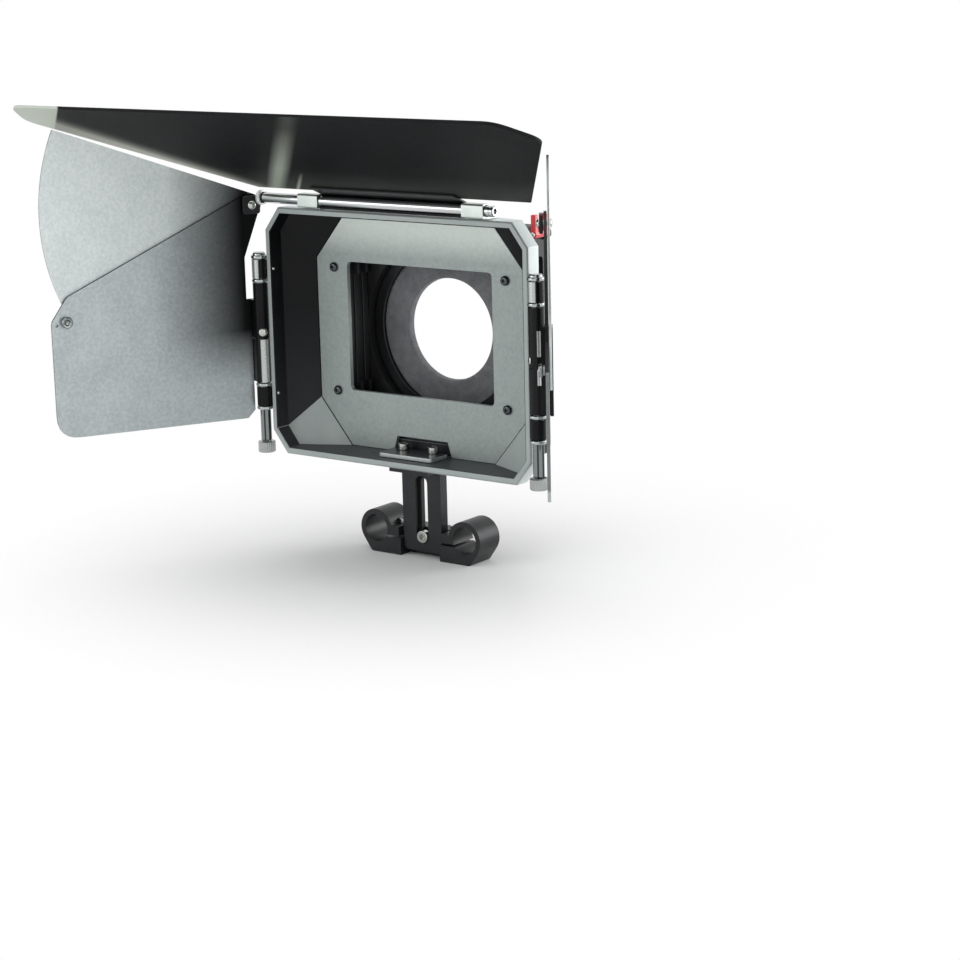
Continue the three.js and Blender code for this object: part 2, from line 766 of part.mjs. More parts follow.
function rearCollar() {
  const lip = collarBack - COLLAR_LIP_THICKNESS;
  return turnedY([
    [COLLAR_BORE, collarFront],
    [COLLAR_FOOT, collarFront],
    [COLLAR_FOOT, collarFront + COLLAR_FOOT_THICKNESS],
    [COLLAR_OUTER, collarFront + COLLAR_FOOT_THICKNESS],
    [COLLAR_OUTER, collarBack - EDGE_BEVEL],
    [COLLAR_OUTER - EDGE_BEVEL, collarBack],
    [COLLAR_LIP_BORE, collarBack],
    [COLLAR_LIP_BORE, lip],
    [COLLAR_BORE, lip],
  ], 0, 0, BROAD);
}

function foamDonut() {
  const edge = COLLAR_BORE - GAP;
  const round = FOAM_ROUNDING;
  return turnedY([
    [FOAM_BORE + round, foamFront],
    [edge, foamFront],
    [edge, foamBack],
    [FOAM_BORE + round, foamBack],
    [FOAM_BORE, foamBack - round],
    [FOAM_BORE, foamFront + round],
  ], 0, 0, BROAD);
}

piece(box, 'rear_collar', rearCollar(), ANODISED);
piece(box, 'donut_ring', turnedY(
  tube(RING_INNER, COLLAR_BORE - GAP, ringFront, ringFront + RING_THICKNESS),
  0,
  0,
  BROAD,
), ANODISED);
piece(box, 'donut_foam', foamDonut(), FOAM);

// Foot inside the hood, its two screws and the post below

const footUnder = GAP - HOOD_HALF_HEIGHT;
const footTop = footUnder + FOOT_THICKNESS;
const postTop = -(hoodTop + GAP);
const postBottom = slotBottom - POST_TAIL;

function footScrewHole(x, z0, z1) {
  return turnedZ(bar(FOOT_SCREW_SHANK + GAP, z0 - OVERRUN, z1 + OVERRUN), x, FOOT_SCREW_Y);
}

function footPlate() {
  const back = TAPER_END - GAP;
  const plate = alongZ(
    rectangle(-FOOT_HALF_WIDTH, FOOT_HALF_WIDTH, FOOT_FRONT, back, FOOT_THICKNESS),
    footUnder,
    footTop,
    FILLET_STEPS,
  );
  return cut(plate, ...[-FOOT_SCREW_X, FOOT_SCREW_X].map((x) => footScrewHole(x, footUnder, footTop)));
}

function footScrew(x) {
  const seat = footTop + GAP;
  const top = seat + FOOT_SCREW_HEAD_HEIGHT;
  const tip = postTop - POST_FLANGE_THICKNESS + GAP;
  const depth = FOOT_SCREW_HEAD_HEIGHT / 2;
  const socket = hexSocket(FOOT_SCREW_HEX, depth).translate(x, FOOT_SCREW_Y, top - depth);
  const screw = turnedZ(capScrew(FOOT_SCREW_SHANK, FOOT_SCREW_HEAD, tip, seat, top), x, FOOT_SCREW_Y);
  return cut(screw, toSolid(socket));
}

function supportPost() {
  const back = POST_FRONT + POST_THICKNESS;
  const shelf = postTop - POST_FLANGE_THICKNESS;
  const side = alongX(
    rounded([
      [POST_FLANGE_FRONT, postTop],
      [POST_FLANGE_FRONT, shelf],
      [POST_FRONT, shelf, POST_FILLET],
      [POST_FRONT, postBottom],
      [back, postBottom],
      [back, postTop],
    ]),
    -POST_HALF_WIDTH,
    POST_HALF_WIDTH,
    FILLET_STEPS,
  );
  const front = alongY(
    rounded([
      [-POST_HALF_WIDTH, postTop], [-POST_HALF_WIDTH, postBottom, POST_FILLET],
      [POST_HALF_WIDTH, postBottom, POST_FILLET], [POST_HALF_WIDTH, postTop],
    ]),
    POST_FLANGE_FRONT,
    back,
    FILLET_STEPS,
  );
  const slotTop = slotBottom + SLOT_TRAVEL;
  const through = alongY(
    slotOutline(0, slotBottom, slotTop, SLOT_HALF_WIDTH),
    POST_FRONT - OVERRUN,
    back + OVERRUN,
    CURVE_STEPS,
  );
  const recess = alongY(
    slotOutline(0, slotBottom, slotTop, SLOT_RECESS_HALF_WIDTH),
    POST_FRONT - OVERRUN,
    POST_FRONT + SLOT_RECESS_DEPTH,
    CURVE_STEPS,
  );
  return cut(
    side.intersect(front),
    through,
    recess,
    ...[-FOOT_SCREW_X, FOOT_SCREW_X].map((x) => footScrewHole(x, shelf, postTop)),
  );
}

piece(box, 'foot_plate', footPlate(), SATIN);
piece(box, 'foot_screw_left', footScrew(-FOOT_SCREW_X), CHROME);
piece(box, 'foot_screw_right', footScrew(FOOT_SCREW_X), CHROME);
piece(box, 'support_post', supportPost(), ANODISED);

// Rod clamp: y is counted from its middle and z from the rod axes

const clampMiddle = POST_FRONT - CLAMP_PROUD + CLAMP_DEPTH / 2;
const channelBack = POST_FRONT + POST_THICKNESS + GAP - clampMiddle;
const clampHalf = CLAMP_DEPTH / 2;
const rodX = ROD_SPACING / 2;

function clampScrewHole(x) {
  const tip = CLAMP_TOP - CLAMP_SCREW_REACH;
  return join(
    turnedZ(bar(CLAMP_SCREW_SHANK + GAP, tip - GAP, CLAMP_TOP + OVERRUN), x, 0),
    turnedZ(bar(CLAMP_SCREW_HEAD + GAP, CLAMP_TOP, CLAMP_RING + OVERRUN), x, 0, MEDIUM),
  );
}

function rodClamp() {
  const cornerX = rodX + CLAMP_RING * CLAMP_FLANK_REACH_SHARE;
  const cornerZ = -CLAMP_RING * CLAMP_FLANK_DROP_SHARE;
  const base = alongY(
    rounded([
      [-rodX, CLAMP_TOP],
      [-cornerX, cornerZ],
      [CLAMP_CORNER - cornerX, -CLAMP_BOTTOM, CLAMP_CORNER / 2],
      [cornerX - CLAMP_CORNER, -CLAMP_BOTTOM, CLAMP_CORNER / 2],
      [cornerX, cornerZ],
      [rodX, CLAMP_TOP],
    ]),
    -clampHalf,
    clampHalf,
    FILLET_STEPS,
  );
  const y0 = -clampHalf - OVERRUN;
  const y1 = clampHalf + OVERRUN;
  const channelHalf = POST_HALF_WIDTH + GAP;
  const z0 = -CLAMP_BOTTOM - OVERRUN;
  const channel = block(-channelHalf, channelHalf, y0, channelBack, z0, CLAMP_TOP + OVERRUN);
  const boltHole = turnedY(bar(HEIGHT_BOLT_SHANK + GAP, y0, y1), 0, -HEIGHT_BOLT_DROP);
  const rings = [-rodX, rodX].map((x) => turnedY(bar(CLAMP_RING, -clampHalf, clampHalf), x, 0, FINE));
  const cuts = [-1, 1].flatMap((side) => {
    const slitBottom = -CLAMP_SLIT_DROP - CLAMP_SLIT;
    const [ax0, ax1] = span(side, channelHalf, rodX);
    const [bx0, bx1] = span(side, channelHalf - GAP, channelHalf + CLAMP_SLIT);
    return [
      turnedY(bar(ROD_BORE, y0, y1), side * rodX, 0, FINE),
      block(ax0, ax1, y0, y1, slitBottom, -CLAMP_SLIT_DROP),
      block(bx0, bx1, y0, y1, slitBottom, CLAMP_TOP + OVERRUN),
      clampScrewHole(side * CLAMP_SCREW_X),
    ];
  });
  return cut(join(base, ...rings), channel, boltHole, ...cuts);
}

function clampScrew(x) {
  const seat = CLAMP_TOP + GAP;
  const top = seat + CLAMP_SCREW_HEAD_HEIGHT;
  const depth = CLAMP_SCREW_HEAD_HEIGHT / 2;
  const socket = hexSocket(CLAMP_SCREW_HEX, depth).translate(x, 0, top - depth);
  const tip = CLAMP_TOP - CLAMP_SCREW_REACH;
  const screw = turnedZ(capScrew(CLAMP_SCREW_SHANK, CLAMP_SCREW_HEAD, tip, seat, top), x, 0);
  return cut(screw, toSolid(socket));
}

function heightBolt() {
  const seat = POST_FRONT + SLOT_RECESS_DEPTH - GAP - clampMiddle;
  const face = seat - HEIGHT_BOLT_HEAD_HEIGHT;
  const depth = HEIGHT_BOLT_HEAD_HEIGHT / 2;
  const socket = hexSocket(HEIGHT_BOLT_HEX, depth)
    .rotateX(Math.PI / 2)
    .translate(0, face + depth, -HEIGHT_BOLT_DROP);
  const profile = capScrew(HEIGHT_BOLT_SHANK, HEIGHT_BOLT_HEAD, clampHalf - OVERRUN, seat, face);
  return cut(turnedY(profile, 0, -HEIGHT_BOLT_DROP, MEDIUM), toSolid(socket));
}

box.position.set(0, -clampMiddle, LENS_HEIGHT);
piece(part, 'rod_clamp', rodClamp(), ANODISED);
piece(part, 'rod_clamp_screw_left', clampScrew(-CLAMP_SCREW_X), CHROME);
piece(part, 'rod_clamp_screw_right', clampScrew(CLAMP_SCREW_X), CHROME);
piece(part, 'height_bolt', heightBolt(), CHROME);

// Fluted outline of a finger knob
function fluted(x, y, radius, depth, flutes) {
  const points = [];
  for (let i = 0; i < 2 * flutes; i += 1) {
    const angle = (Math.PI * i) / flutes;
    const reach = i % 2 ? radius - depth : radius;
    points.push([x + reach * Math.cos(angle), y + reach * Math.sin(angle)]);
  }
  return outline(points);
}

// Top rod in its two brackets, with a knob on the left end and a hexagonal socket in the right

const rodBore = TOP_ROD_RADIUS + GAP;
const topRodLeft = -(topBracketSide + TOP_ROD_TAIL);
const topRodRight = topBracketSide + TOP_ROD_TIP;
const footBottom = hoodTop + GAP;

function topBracket(x) {
  const x0 = x - TOP_BRACKET_WIDTH / 2;
  const x1 = x + TOP_BRACKET_WIDTH / 2;
  const shelf = footBottom + TOP_FOOT_THICKNESS;
  const front = TOP_ROD_Y - TOP_BRACKET_HALF;
  const back = TOP_ROD_Y + TOP_BRACKET_HALF;
  const low = topRodZ - TOP_BRACKET_HALF;
  const high = topRodZ + TOP_BRACKET_HALF;
  const profile = alongX(
    rounded([
      [front, low, EDGE_BEVEL],
      [TOP_ROD_Y, low],
      [TOP_ROD_Y, footBottom],
      [TOP_FOOT_BACK, footBottom],
      [TOP_FOOT_BACK, shelf, EDGE_BEVEL],
      [back, shelf, TOP_BRACKET_ROUND],
      [back, high, TOP_BRACKET_ROUND],
      [front, high, TOP_BRACKET_ROUND],
    ]),
    x0,
    x1,
    FILLET_STEPS,
  );
  return cut(profile, turnedX(bar(rodBore, x0 - OVERRUN, x1 + OVERRUN), TOP_ROD_Y, topRodZ, MEDIUM));
}

function topRod() {
  const bevel = EDGE_BEVEL;
  const rod = turnedX([
    [0, topRodLeft],
    [TOP_ROD_RADIUS - bevel, topRodLeft],
    [TOP_ROD_RADIUS, topRodLeft + bevel],
    [TOP_ROD_RADIUS, topRodRight - bevel],
    [TOP_ROD_RADIUS - bevel, topRodRight],
    [0, topRodRight],
  ], TOP_ROD_Y, topRodZ, MEDIUM);
  const socket = hexSocket(TOP_ROD_HEX, TOP_ROD_RADIUS)
    .rotateY(Math.PI / 2)
    .translate(topRodRight - TOP_ROD_RADIUS, TOP_ROD_Y, topRodZ);
  return cut(rod, toSolid(socket));
}

function topKnob() {
  const end = topRodLeft - GAP;
  const shape = fluted(TOP_ROD_Y, topRodZ, TOP_KNOB_RADIUS, GAP, COARSE);
  const grip = alongX(shape, end - TOP_KNOB_LENGTH + EDGE_BEVEL, end - EDGE_BEVEL);
  const core = bar(TOP_KNOB_RADIUS - EDGE_BEVEL, end - TOP_KNOB_LENGTH, end);
  return join(grip, turnedX(core, TOP_ROD_Y, topRodZ, MEDIUM));
}

piece(box, 'top_bracket_left', topBracket(-topBracketX), SATIN);
piece(box, 'top_bracket_right', topBracket(topBracketX), SATIN);
piece(box, 'top_rod', topRod(), CHROME);
piece(box, 'top_rod_knob', topKnob(), SATIN);

// Top flag and its hinge leaf, about the axis of the top rod

const topFlag = new THREE.Group();
topFlag.position.set(0, TOP_ROD_Y, topRodZ);
topFlag.rotation.x = -THREE.MathUtils.degToRad(TOP_FLAG_TILT_ANGLE);
box.add(topFlag);

function topFlagSheet() {
  const rear = -TOP_FLAG_AHEAD;
  const flare = TOP_FLAG_FRONT_HALF - TOP_FLAG_HINGE_HALF;
  const edge = new THREE.Vector2(-flare, TOP_FLAG_LENGTH + rear).setLength(TOP_FLAG_CORNER);
  const sideX = TOP_FLAG_FRONT_HALF + edge.x;
  const sideY = edge.y - TOP_FLAG_LENGTH;
  const frontX = TOP_FLAG_FRONT_HALF - TOP_FLAG_CORNER;
  const round = TOP_FLAG_CORNER_ROUND;
  return alongZ(
    rounded([
      [TOP_FLAG_HINGE_HALF, rear, FLAG_THICKNESS],
      [-TOP_FLAG_HINGE_HALF, rear, FLAG_THICKNESS],
      [-sideX, sideY, round],
      [-frontX, -TOP_FLAG_LENGTH, round],
      [frontX, -TOP_FLAG_LENGTH, round],
      [sideX, sideY, round],
    ].reverse()),
    TOP_FLAG_OFFSET,
    TOP_FLAG_OFFSET + FLAG_THICKNESS,
    CURVE_STEPS,
  );
}

// The leaf is a strip between the brackets that is curled round the back of the rod.
function topLeaf() {
  const half = topBracketX - TOP_BRACKET_WIDTH / 2 - GAP;
  const outer = TOP_FLAG_OFFSET - GAP;
  const wrap = -THREE.MathUtils.degToRad(TOP_LEAF_WRAP_ANGLE);
  const shape = new THREE.Shape();
  shape.moveTo(-TOP_LEAF_REACH, outer);
  shape.lineTo(-TOP_LEAF_REACH, rodBore);
  shape.lineTo(0, rodBore);
  shape.absarc(0, 0, rodBore, Math.PI / 2, wrap, true);
  shape.absarc(0, 0, outer, wrap, Math.PI / 2, false);
  shape.closePath();
  return alongX(shape, -half, half, MEDIUM);
}

piece(topFlag, 'top_flag', topFlagSheet(), FLAG_BLACK);
piece(topFlag, 'top_leaf', topLeaf(), ANODISED);

// Side hinges: each has a rod with four collars, held by two brackets on the hood

const sideBore = SIDE_ROD_RADIUS + GAP;
const bracketHalf = SIDE_BRACKET_HEIGHT / 2;
const collarBands = [
  SIDE_BRACKET_Z + bracketHalf + GAP,
  SIDE_BRACKET_Z - bracketHalf - GAP - SIDE_COLLAR_HEIGHT,
  SIDE_BRACKET_LOWER_Z + bracketHalf + GAP,
  SIDE_BRACKET_LOWER_Z - bracketHalf - GAP - SIDE_COLLAR_HEIGHT,
];
const capBase = collarBands[0] + SIDE_COLLAR_HEIGHT;
const capTop = capBase + SIDE_CAP_HEIGHT;
const sideRodBottom = collarBands[3] - SIDE_ROD_TAIL;
const leafTop = collarBands[1] - GAP;
const leafBottom = collarBands[2] + SIDE_COLLAR_HEIGHT + GAP;

function sideRod(side) {
  const x = side * sideAxisX;
  const rod = turnedZ(bar(SIDE_ROD_RADIUS, sideRodBottom, capBase), x, 0, MEDIUM);
  const cap = turnedZ([
    [0, capBase - GAP],
    [SIDE_CAP_RADIUS, capBase - GAP],
    [SIDE_CAP_RADIUS, capBase + SIDE_CAP_HEIGHT / 2],
    [SIDE_CAP_RADIUS - EDGE_BEVEL, capTop],
    [0, capTop],
  ], x, 0, MEDIUM);
  const collars = collarBands.map((z) => turnedZ(
    bar(SIDE_COLLAR_RADIUS, z, z + SIDE_COLLAR_HEIGHT),
    x,
    0,
    MEDIUM,
  ));
  return join(rod, cap, ...collars);
}

function sideBracket(side, z) {
  const wall = HOOD_HALF_WIDTH + HOOD_WALL + GAP;
  const pad = wall + SIDE_PAD_THICKNESS;
  const back = COLLAR_DEPTH;
  const arm = alongZ(
    outline([
      [side * wall, 0],
      [side * sideAxisX, -SIDE_BARREL / 2],
      [side * (sideAxisX + SIDE_BARREL / 2), SIDE_BARREL / 2],
      [side * pad, back],
      [side * wall, back],
    ]),
    z - bracketHalf,
    z + bracketHalf,
  );
  const barrel = turnedZ(bar(SIDE_BARREL, z - bracketHalf, z + bracketHalf), side * sideAxisX, 0, MEDIUM);
  const hole = bar(sideBore, z - bracketHalf - OVERRUN, z + bracketHalf + OVERRUN);
  return cut(join(arm, barrel), turnedZ(hole, side * sideAxisX, 0, MEDIUM));
}

function hingeKnob(side) {
  const top = sideRodBottom - GAP;
  const bottom = top - SIDE_KNOB_HEIGHT;
  const x = side * sideAxisX;
  const grip = alongZ(fluted(x, 0, SIDE_KNOB_RADIUS, GAP, COARSE), bottom + EDGE_BEVEL, top - EDGE_BEVEL);
  return join(grip, turnedZ(bar(SIDE_KNOB_RADIUS - EDGE_BEVEL, bottom, top), x, 0, MEDIUM));
}

// Side flags: y runs along the flag from the hinge axis, x outwards from it

const leafScrewZ = LEAF_SPLIT_Z + LEAF_SCREW_RISE;
const flagFace = SIDE_FLAG_OFFSET;
const flagBack = flagFace + FLAG_THICKNESS;
const fanFace = flagBack + GAP;
const fanBack = fanFace + FAN_THICKNESS;
const slope = THREE.MathUtils.degToRad(SIDE_FLAG_SLOPE_ANGLE);

// Each leaf turns on the hinge rod, passes behind the flag and lies on its outer face.
function sideLeaf(side, z0, z1, wingTop) {
  const barrel = turnedZ(bar(LEAF_BARREL, z0, z1), 0, 0, MEDIUM);
  const outer = fanFace + LEAF_THICKNESS;
  const [arm0, arm1] = span(side, 0, outer);
  const arm = block(arm0, arm1, GAP - SIDE_FLAG_START, LEAF_BARREL, z0, wingTop);
  const [x0, x1] = span(side, fanFace, outer);
  const wing = alongX(
    rounded([
      [-LEAF_REACH, z0, LEAF_THICKNESS], [0, z0], [0, wingTop], [-LEAF_REACH, wingTop, LEAF_THICKNESS],
    ]),
    x0,
    x1,
    FILLET_STEPS,
  );
  const bore = turnedZ(bar(sideBore, z0 - OVERRUN, z1 + OVERRUN), 0, 0, MEDIUM);
  return cut(join(barrel, arm, wing), bore);
}

// A turned solid that points forwards from the hinge axis, swung inwards by the screw's angle
function leafTurned(side, profile) {
  const swing = -side * THREE.MathUtils.degToRad(LEAF_SCREW_ANGLE);
  const forwards = profile.map(([r, h]) => [r, -h]);
  return toSolid(lathe(forwards, COARSE).translate(0, 0, leafScrewZ).rotateZ(swing));
}

function upperLeaf(side) {
  const hole = bar(LEAF_SCREW_RADIUS / 2 + GAP, 0, LEAF_BARREL + OVERRUN);
  const seat = bar(LEAF_SCREW_RADIUS + GAP, sideBore + GAP, LEAF_BARREL + OVERRUN);
  const leaf = sideLeaf(side, LEAF_SPLIT_Z, leafTop, SIDE_FLAG_NOTCH_Z - GAP);
  return cut(leaf, leafTurned(side, hole), leafTurned(side, seat));
}

function lowerLeaf(side) {
  const top = LEAF_SPLIT_Z - GAP;
  return sideLeaf(side, leafBottom, top, top);
}

function leafScrew(side) {
  const seat = sideBore + 2 * GAP;
  const crown = seat + LEAF_SCREW_HEIGHT;
  return leafTurned(side, [
    [0, sideBore + GAP / 2],
    [LEAF_SCREW_RADIUS / 2, sideBore + GAP / 2],
    [LEAF_SCREW_RADIUS / 2, seat],
    [LEAF_SCREW_RADIUS, seat],
    [LEAF_SCREW_RADIUS / 2, crown],
    [0, crown],
  ]);
}

function sideFlagSheet(side) {
  const earTop = [PIVOT_REACH + PIVOT_EAR * Math.sin(slope), pivotZ + PIVOT_EAR * Math.cos(slope)];
  const shoulder = [
    earTop[0] + SIDE_FLAG_UPPER * Math.cos(slope),
    earTop[1] - SIDE_FLAG_UPPER * Math.sin(slope),
  ];
  const notch = SIDE_FLAG_START + SIDE_FLAG_NOTCH;
  const corners = [
    [SIDE_FLAG_START, SIDE_FLAG_BOTTOM, FLAG_THICKNESS],
    [SIDE_FLAG_START, SIDE_FLAG_NOTCH_Z],
    [notch, SIDE_FLAG_NOTCH_Z],
    [notch, capTop - SIDE_FLAG_NECK],
    [PIVOT_REACH - PIVOT_EAR, pivotZ],
    [PIVOT_REACH, pivotZ],
    earTop,
    [...shoulder, SIDE_FLAG_CORNER],
    [SIDE_FLAG_LENGTH, SIDE_FLAG_SHOULDER_Z, SIDE_FLAG_CORNER],
    [SIDE_FLAG_LENGTH, SIDE_FLAG_BOTTOM, SIDE_FLAG_LOWER_CORNER],
  ].map(([reach, z, fillet]) => [-reach, z, fillet]);
  const [x0, x1] = span(side, flagFace, flagBack);
  const sheet = alongX(rounded(corners), x0, x1, CURVE_STEPS);
  const ear = turnedX(bar(PIVOT_EAR, x0, x1), -PIVOT_REACH, pivotZ, MEDIUM);
  const hole = turnedX(bar(PIVOT_HOLE, x0 - OVERRUN, x1 + OVERRUN), -PIVOT_REACH, pivotZ);
  return cut(join(sheet, ear), hole);
}

function pivotBoss(side) {
  const [x0, x1] = span(side, flagFace - GAP - PIVOT_BOSS_THICKNESS, flagFace - GAP);
  const y = -PIVOT_REACH;
  const half = PIVOT_BOSS;
  const pad = alongX(
    rectangle(y - half, y + half, pivotZ - half, pivotZ + half, PIVOT_HOLE),
    x0,
    x1,
    FILLET_STEPS,
  );
  return cut(pad, turnedX(bar(PIVOT_HOLE, x0 - OVERRUN, x1 + OVERRUN), y, pivotZ));
}

function pivotPin(side) {
  const seat = flagFace - 2 * GAP - PIVOT_BOSS_THICKNESS;
  const shank = PIVOT_HOLE - GAP;
  const face = seat - PIVOT_SCREW_HEAD_HEIGHT;
  const tail = fanBack + GAP;
  const bevel = PIVOT_SCREW_HEAD_HEIGHT * SCREW_BEVEL_SHARE;
  const profile = [
    [0, face],
    [PIVOT_SCREW_HEAD - bevel, face],
    [PIVOT_SCREW_HEAD, face + bevel],
    [PIVOT_SCREW_HEAD, seat],
    [shank, seat],
    [shank, tail],
    [PIVOT_SCREW_HEAD, tail],
    [PIVOT_SCREW_HEAD, tail + bevel],
    [0, tail + 2 * bevel],
  ];
  return turnedX(profile.map(([r, x]) => [r, side * x]), -PIVOT_REACH, pivotZ, COARSE);
}

function flagStud(side) {
  const base = flagFace - GAP;
  const bevel = STUD_HEIGHT * STUD_GROOVE_SHARE;
  const waist = STUD_RADIUS - bevel;
  const profile = [
    [0, base],
    [waist, base],
    [waist, base - bevel],
    [STUD_RADIUS, base - 2 * bevel],
    [STUD_RADIUS, base - 3 * bevel],
    [waist, base - STUD_HEIGHT],
    [0, base - STUD_HEIGHT],
  ];
  const reach = SIDE_FLAG_LENGTH - STUD_INSET;
  return turnedX(profile.map(([r, x]) => [r, side * x]), -reach, STUD_Z, COARSE);
}

// The fan is a sector drawn with its upper edge level, and turned about the pivot.
function fanSheet(side) {
  const spread = THREE.MathUtils.degToRad(FAN_SPAN_ANGLE);
  const lean = Math.asin(PIVOT_EAR / FAN_RADIUS);
  const tip = Math.sqrt(FAN_RADIUS ** 2 - PIVOT_EAR ** 2);
  const shape = new THREE.Shape();
  shape.moveTo(0, PIVOT_EAR);
  shape.lineTo(-tip, PIVOT_EAR);
  shape.absarc(0, 0, FAN_RADIUS, Math.PI - lean, Math.PI + spread + lean);
  shape.absarc(0, 0, PIVOT_EAR, Math.PI + spread + Math.PI / 2, 2 * Math.PI + Math.PI / 2);
  const [x0, x1] = span(side, fanFace, fanBack);
  const hole = turnedX(bar(PIVOT_HOLE, x0 - OVERRUN, x1 + OVERRUN), 0, 0);
  return cut(alongX(shape, x0, x1, MEDIUM), hole);
}

for (const [name, side, open] of [['left', -1, LEFT_OPEN_ANGLE], ['right', 1, RIGHT_OPEN_ANGLE]]) {
  piece(box, `${name}_hinge_rod`, sideRod(side), CHROME);
  piece(box, `${name}_hinge_bracket_upper`, sideBracket(side, SIDE_BRACKET_Z), ANODISED);
  piece(box, `${name}_hinge_bracket_lower`, sideBracket(side, SIDE_BRACKET_LOWER_Z), ANODISED);
  piece(box, `${name}_hinge_knob`, hingeKnob(side), SATIN);

  const turn = THREE.MathUtils.degToRad(open);
  const flag = new THREE.Group();
  flag.position.set(side * sideAxisX, 0, 0);
  flag.rotation.z = side * turn;
  box.add(flag);
  piece(flag, `${name}_leaf_upper`, upperLeaf(side), ANODISED);
  piece(flag, `${name}_leaf_lower`, lowerLeaf(side), SATIN);
  piece(flag, `${name}_leaf_screw`, leafScrew(side), CHROME);
  piece(flag, `${name}_flag`, sideFlagSheet(side), FLAG_BLACK);
  piece(flag, `${name}_fan_boss`, pivotBoss(side), ANODISED);
  piece(flag, `${name}_fan_pin`, pivotPin(side), CHROME);
  piece(flag, `${name}_flag_stud`, flagStud(side), CHROME);

  // The fan's upper edge runs along the underside of the top flag.
  const fan = new THREE.Group();
  const tilt = THREE.MathUtils.degToRad(TOP_FLAG_TILT_ANGLE);
  fan.position.set(0, -PIVOT_REACH, pivotZ);
  fan.rotation.x = -Math.atan(Math.cos(turn) * Math.tan(tilt));
  flag.add(fan);
  piece(fan, `${name}_fan`, fanSheet(side), FLAG_BLACK);
}

export default part;
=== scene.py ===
# %% [markdown]
# # A matte box
# A matte box is a black hood with folding flags that keeps stray light out of a picture, with a
# stage behind it for filters. The imported model is a fixed frame: every piece of it already has its
# place and size. The frame is loaded first, and its pieces are kept, so that the finished pieces can
# take their places and sizes from it.

# %% Load the frame
import json
import math

import bmesh
import bpy
from mathutils import Matrix, Vector


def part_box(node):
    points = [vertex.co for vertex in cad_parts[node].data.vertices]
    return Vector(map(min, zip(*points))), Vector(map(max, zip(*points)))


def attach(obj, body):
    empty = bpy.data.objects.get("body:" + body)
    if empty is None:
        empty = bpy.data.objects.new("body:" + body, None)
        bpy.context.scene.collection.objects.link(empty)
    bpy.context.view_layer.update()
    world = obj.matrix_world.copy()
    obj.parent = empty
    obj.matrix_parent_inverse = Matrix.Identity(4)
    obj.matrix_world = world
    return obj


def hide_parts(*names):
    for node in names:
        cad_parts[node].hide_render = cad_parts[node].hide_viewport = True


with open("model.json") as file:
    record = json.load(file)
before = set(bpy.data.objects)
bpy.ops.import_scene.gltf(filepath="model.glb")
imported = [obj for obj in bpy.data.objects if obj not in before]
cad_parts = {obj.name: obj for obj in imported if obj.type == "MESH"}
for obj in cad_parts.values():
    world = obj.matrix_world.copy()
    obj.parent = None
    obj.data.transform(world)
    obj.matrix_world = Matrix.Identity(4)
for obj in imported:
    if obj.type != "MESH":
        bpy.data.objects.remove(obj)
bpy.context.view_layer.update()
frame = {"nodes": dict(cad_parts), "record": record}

MM = 0.001
print("nodes in the frame:", len(frame["nodes"]))

# %% [markdown]
# ## The camera
# The camera stands where the photograph was taken from: in front, to the right and a little above.
# Its angles and distance were worked out from the corners of the hood and the rod clamp. A small
# shift moves the picture's centre without turning the camera.

# %% Camera
AZIMUTH = math.radians(36.36)
ELEVATION = math.radians(12.82)
ROLL = math.radians(-1.35)
DISTANCE = 1264.47 * MM
LOOK_AT = Vector((51.71, -26.5, 42.64)) * MM
FOCAL_MM = 90.82
SENSOR_MM = 36
SHIFT_X = 0.0044
SHIFT_Y = -0.0054
FARTHEST_M = 100

backwards = Vector((
    math.sin(AZIMUTH) * math.cos(ELEVATION),
    -math.cos(AZIMUTH) * math.cos(ELEVATION),
    math.sin(ELEVATION),
))
rightwards = Vector((math.cos(AZIMUTH), math.sin(AZIMUTH), 0))
upwards = backwards.cross(rightwards)
right_axis = rightwards * math.cos(ROLL) + upwards * math.sin(ROLL)
up_axis = upwards * math.cos(ROLL) - rightwards * math.sin(ROLL)

bpy.ops.object.select_all(action="DESELECT")
bpy.ops.object.camera_add()
camera = bpy.context.active_object
camera.name = "photo_camera"
turn = Matrix((right_axis, up_axis, backwards)).transposed()
camera.matrix_world = Matrix.Translation(LOOK_AT + backwards * DISTANCE) @ turn.to_4x4()
camera.data.lens = FOCAL_MM
camera.data.sensor_width = SENSOR_MM
camera.data.shift_x = SHIFT_X
camera.data.shift_y = SHIFT_Y
camera.data.clip_end = FARTHEST_M
bpy.context.scene.camera = camera
bpy.context.scene.view_settings.view_transform = "Standard"
print("camera at", [round(value, 3) for value in camera.location])

# %% [markdown]
# ## Tools for materials
# Colours are written as they look on a screen and turned to the linear values that the renderer
# adds up. One small function adds a node with its settings and links, so that each material below
# reads from top to bottom. Most patterns are noise, whose scale is 1 over the size of a blotch in
# metres. Noise seldom leaves the range from 0.3 to 0.7, so colours and roughness are spread over
# that range. A Map Range node gives To Min at From Min and To Max at From Max, or 0 and 1 where
# these aren't given, and From Min may be the larger one.

# %% Colour and node helpers
DIP, PEAK = 0.3, 0.7


def linear(code):
    """The linear RGBA of an sRGB colour such as "#8c9492"."""
    channels = [int(code[i:i + 2], 16) / 255 for i in (1, 3, 5)]
    return tuple(c / 12.92 if c <= 0.04045 else ((c + 0.055) / 1.055) ** 2.4 for c in channels) + (1,)


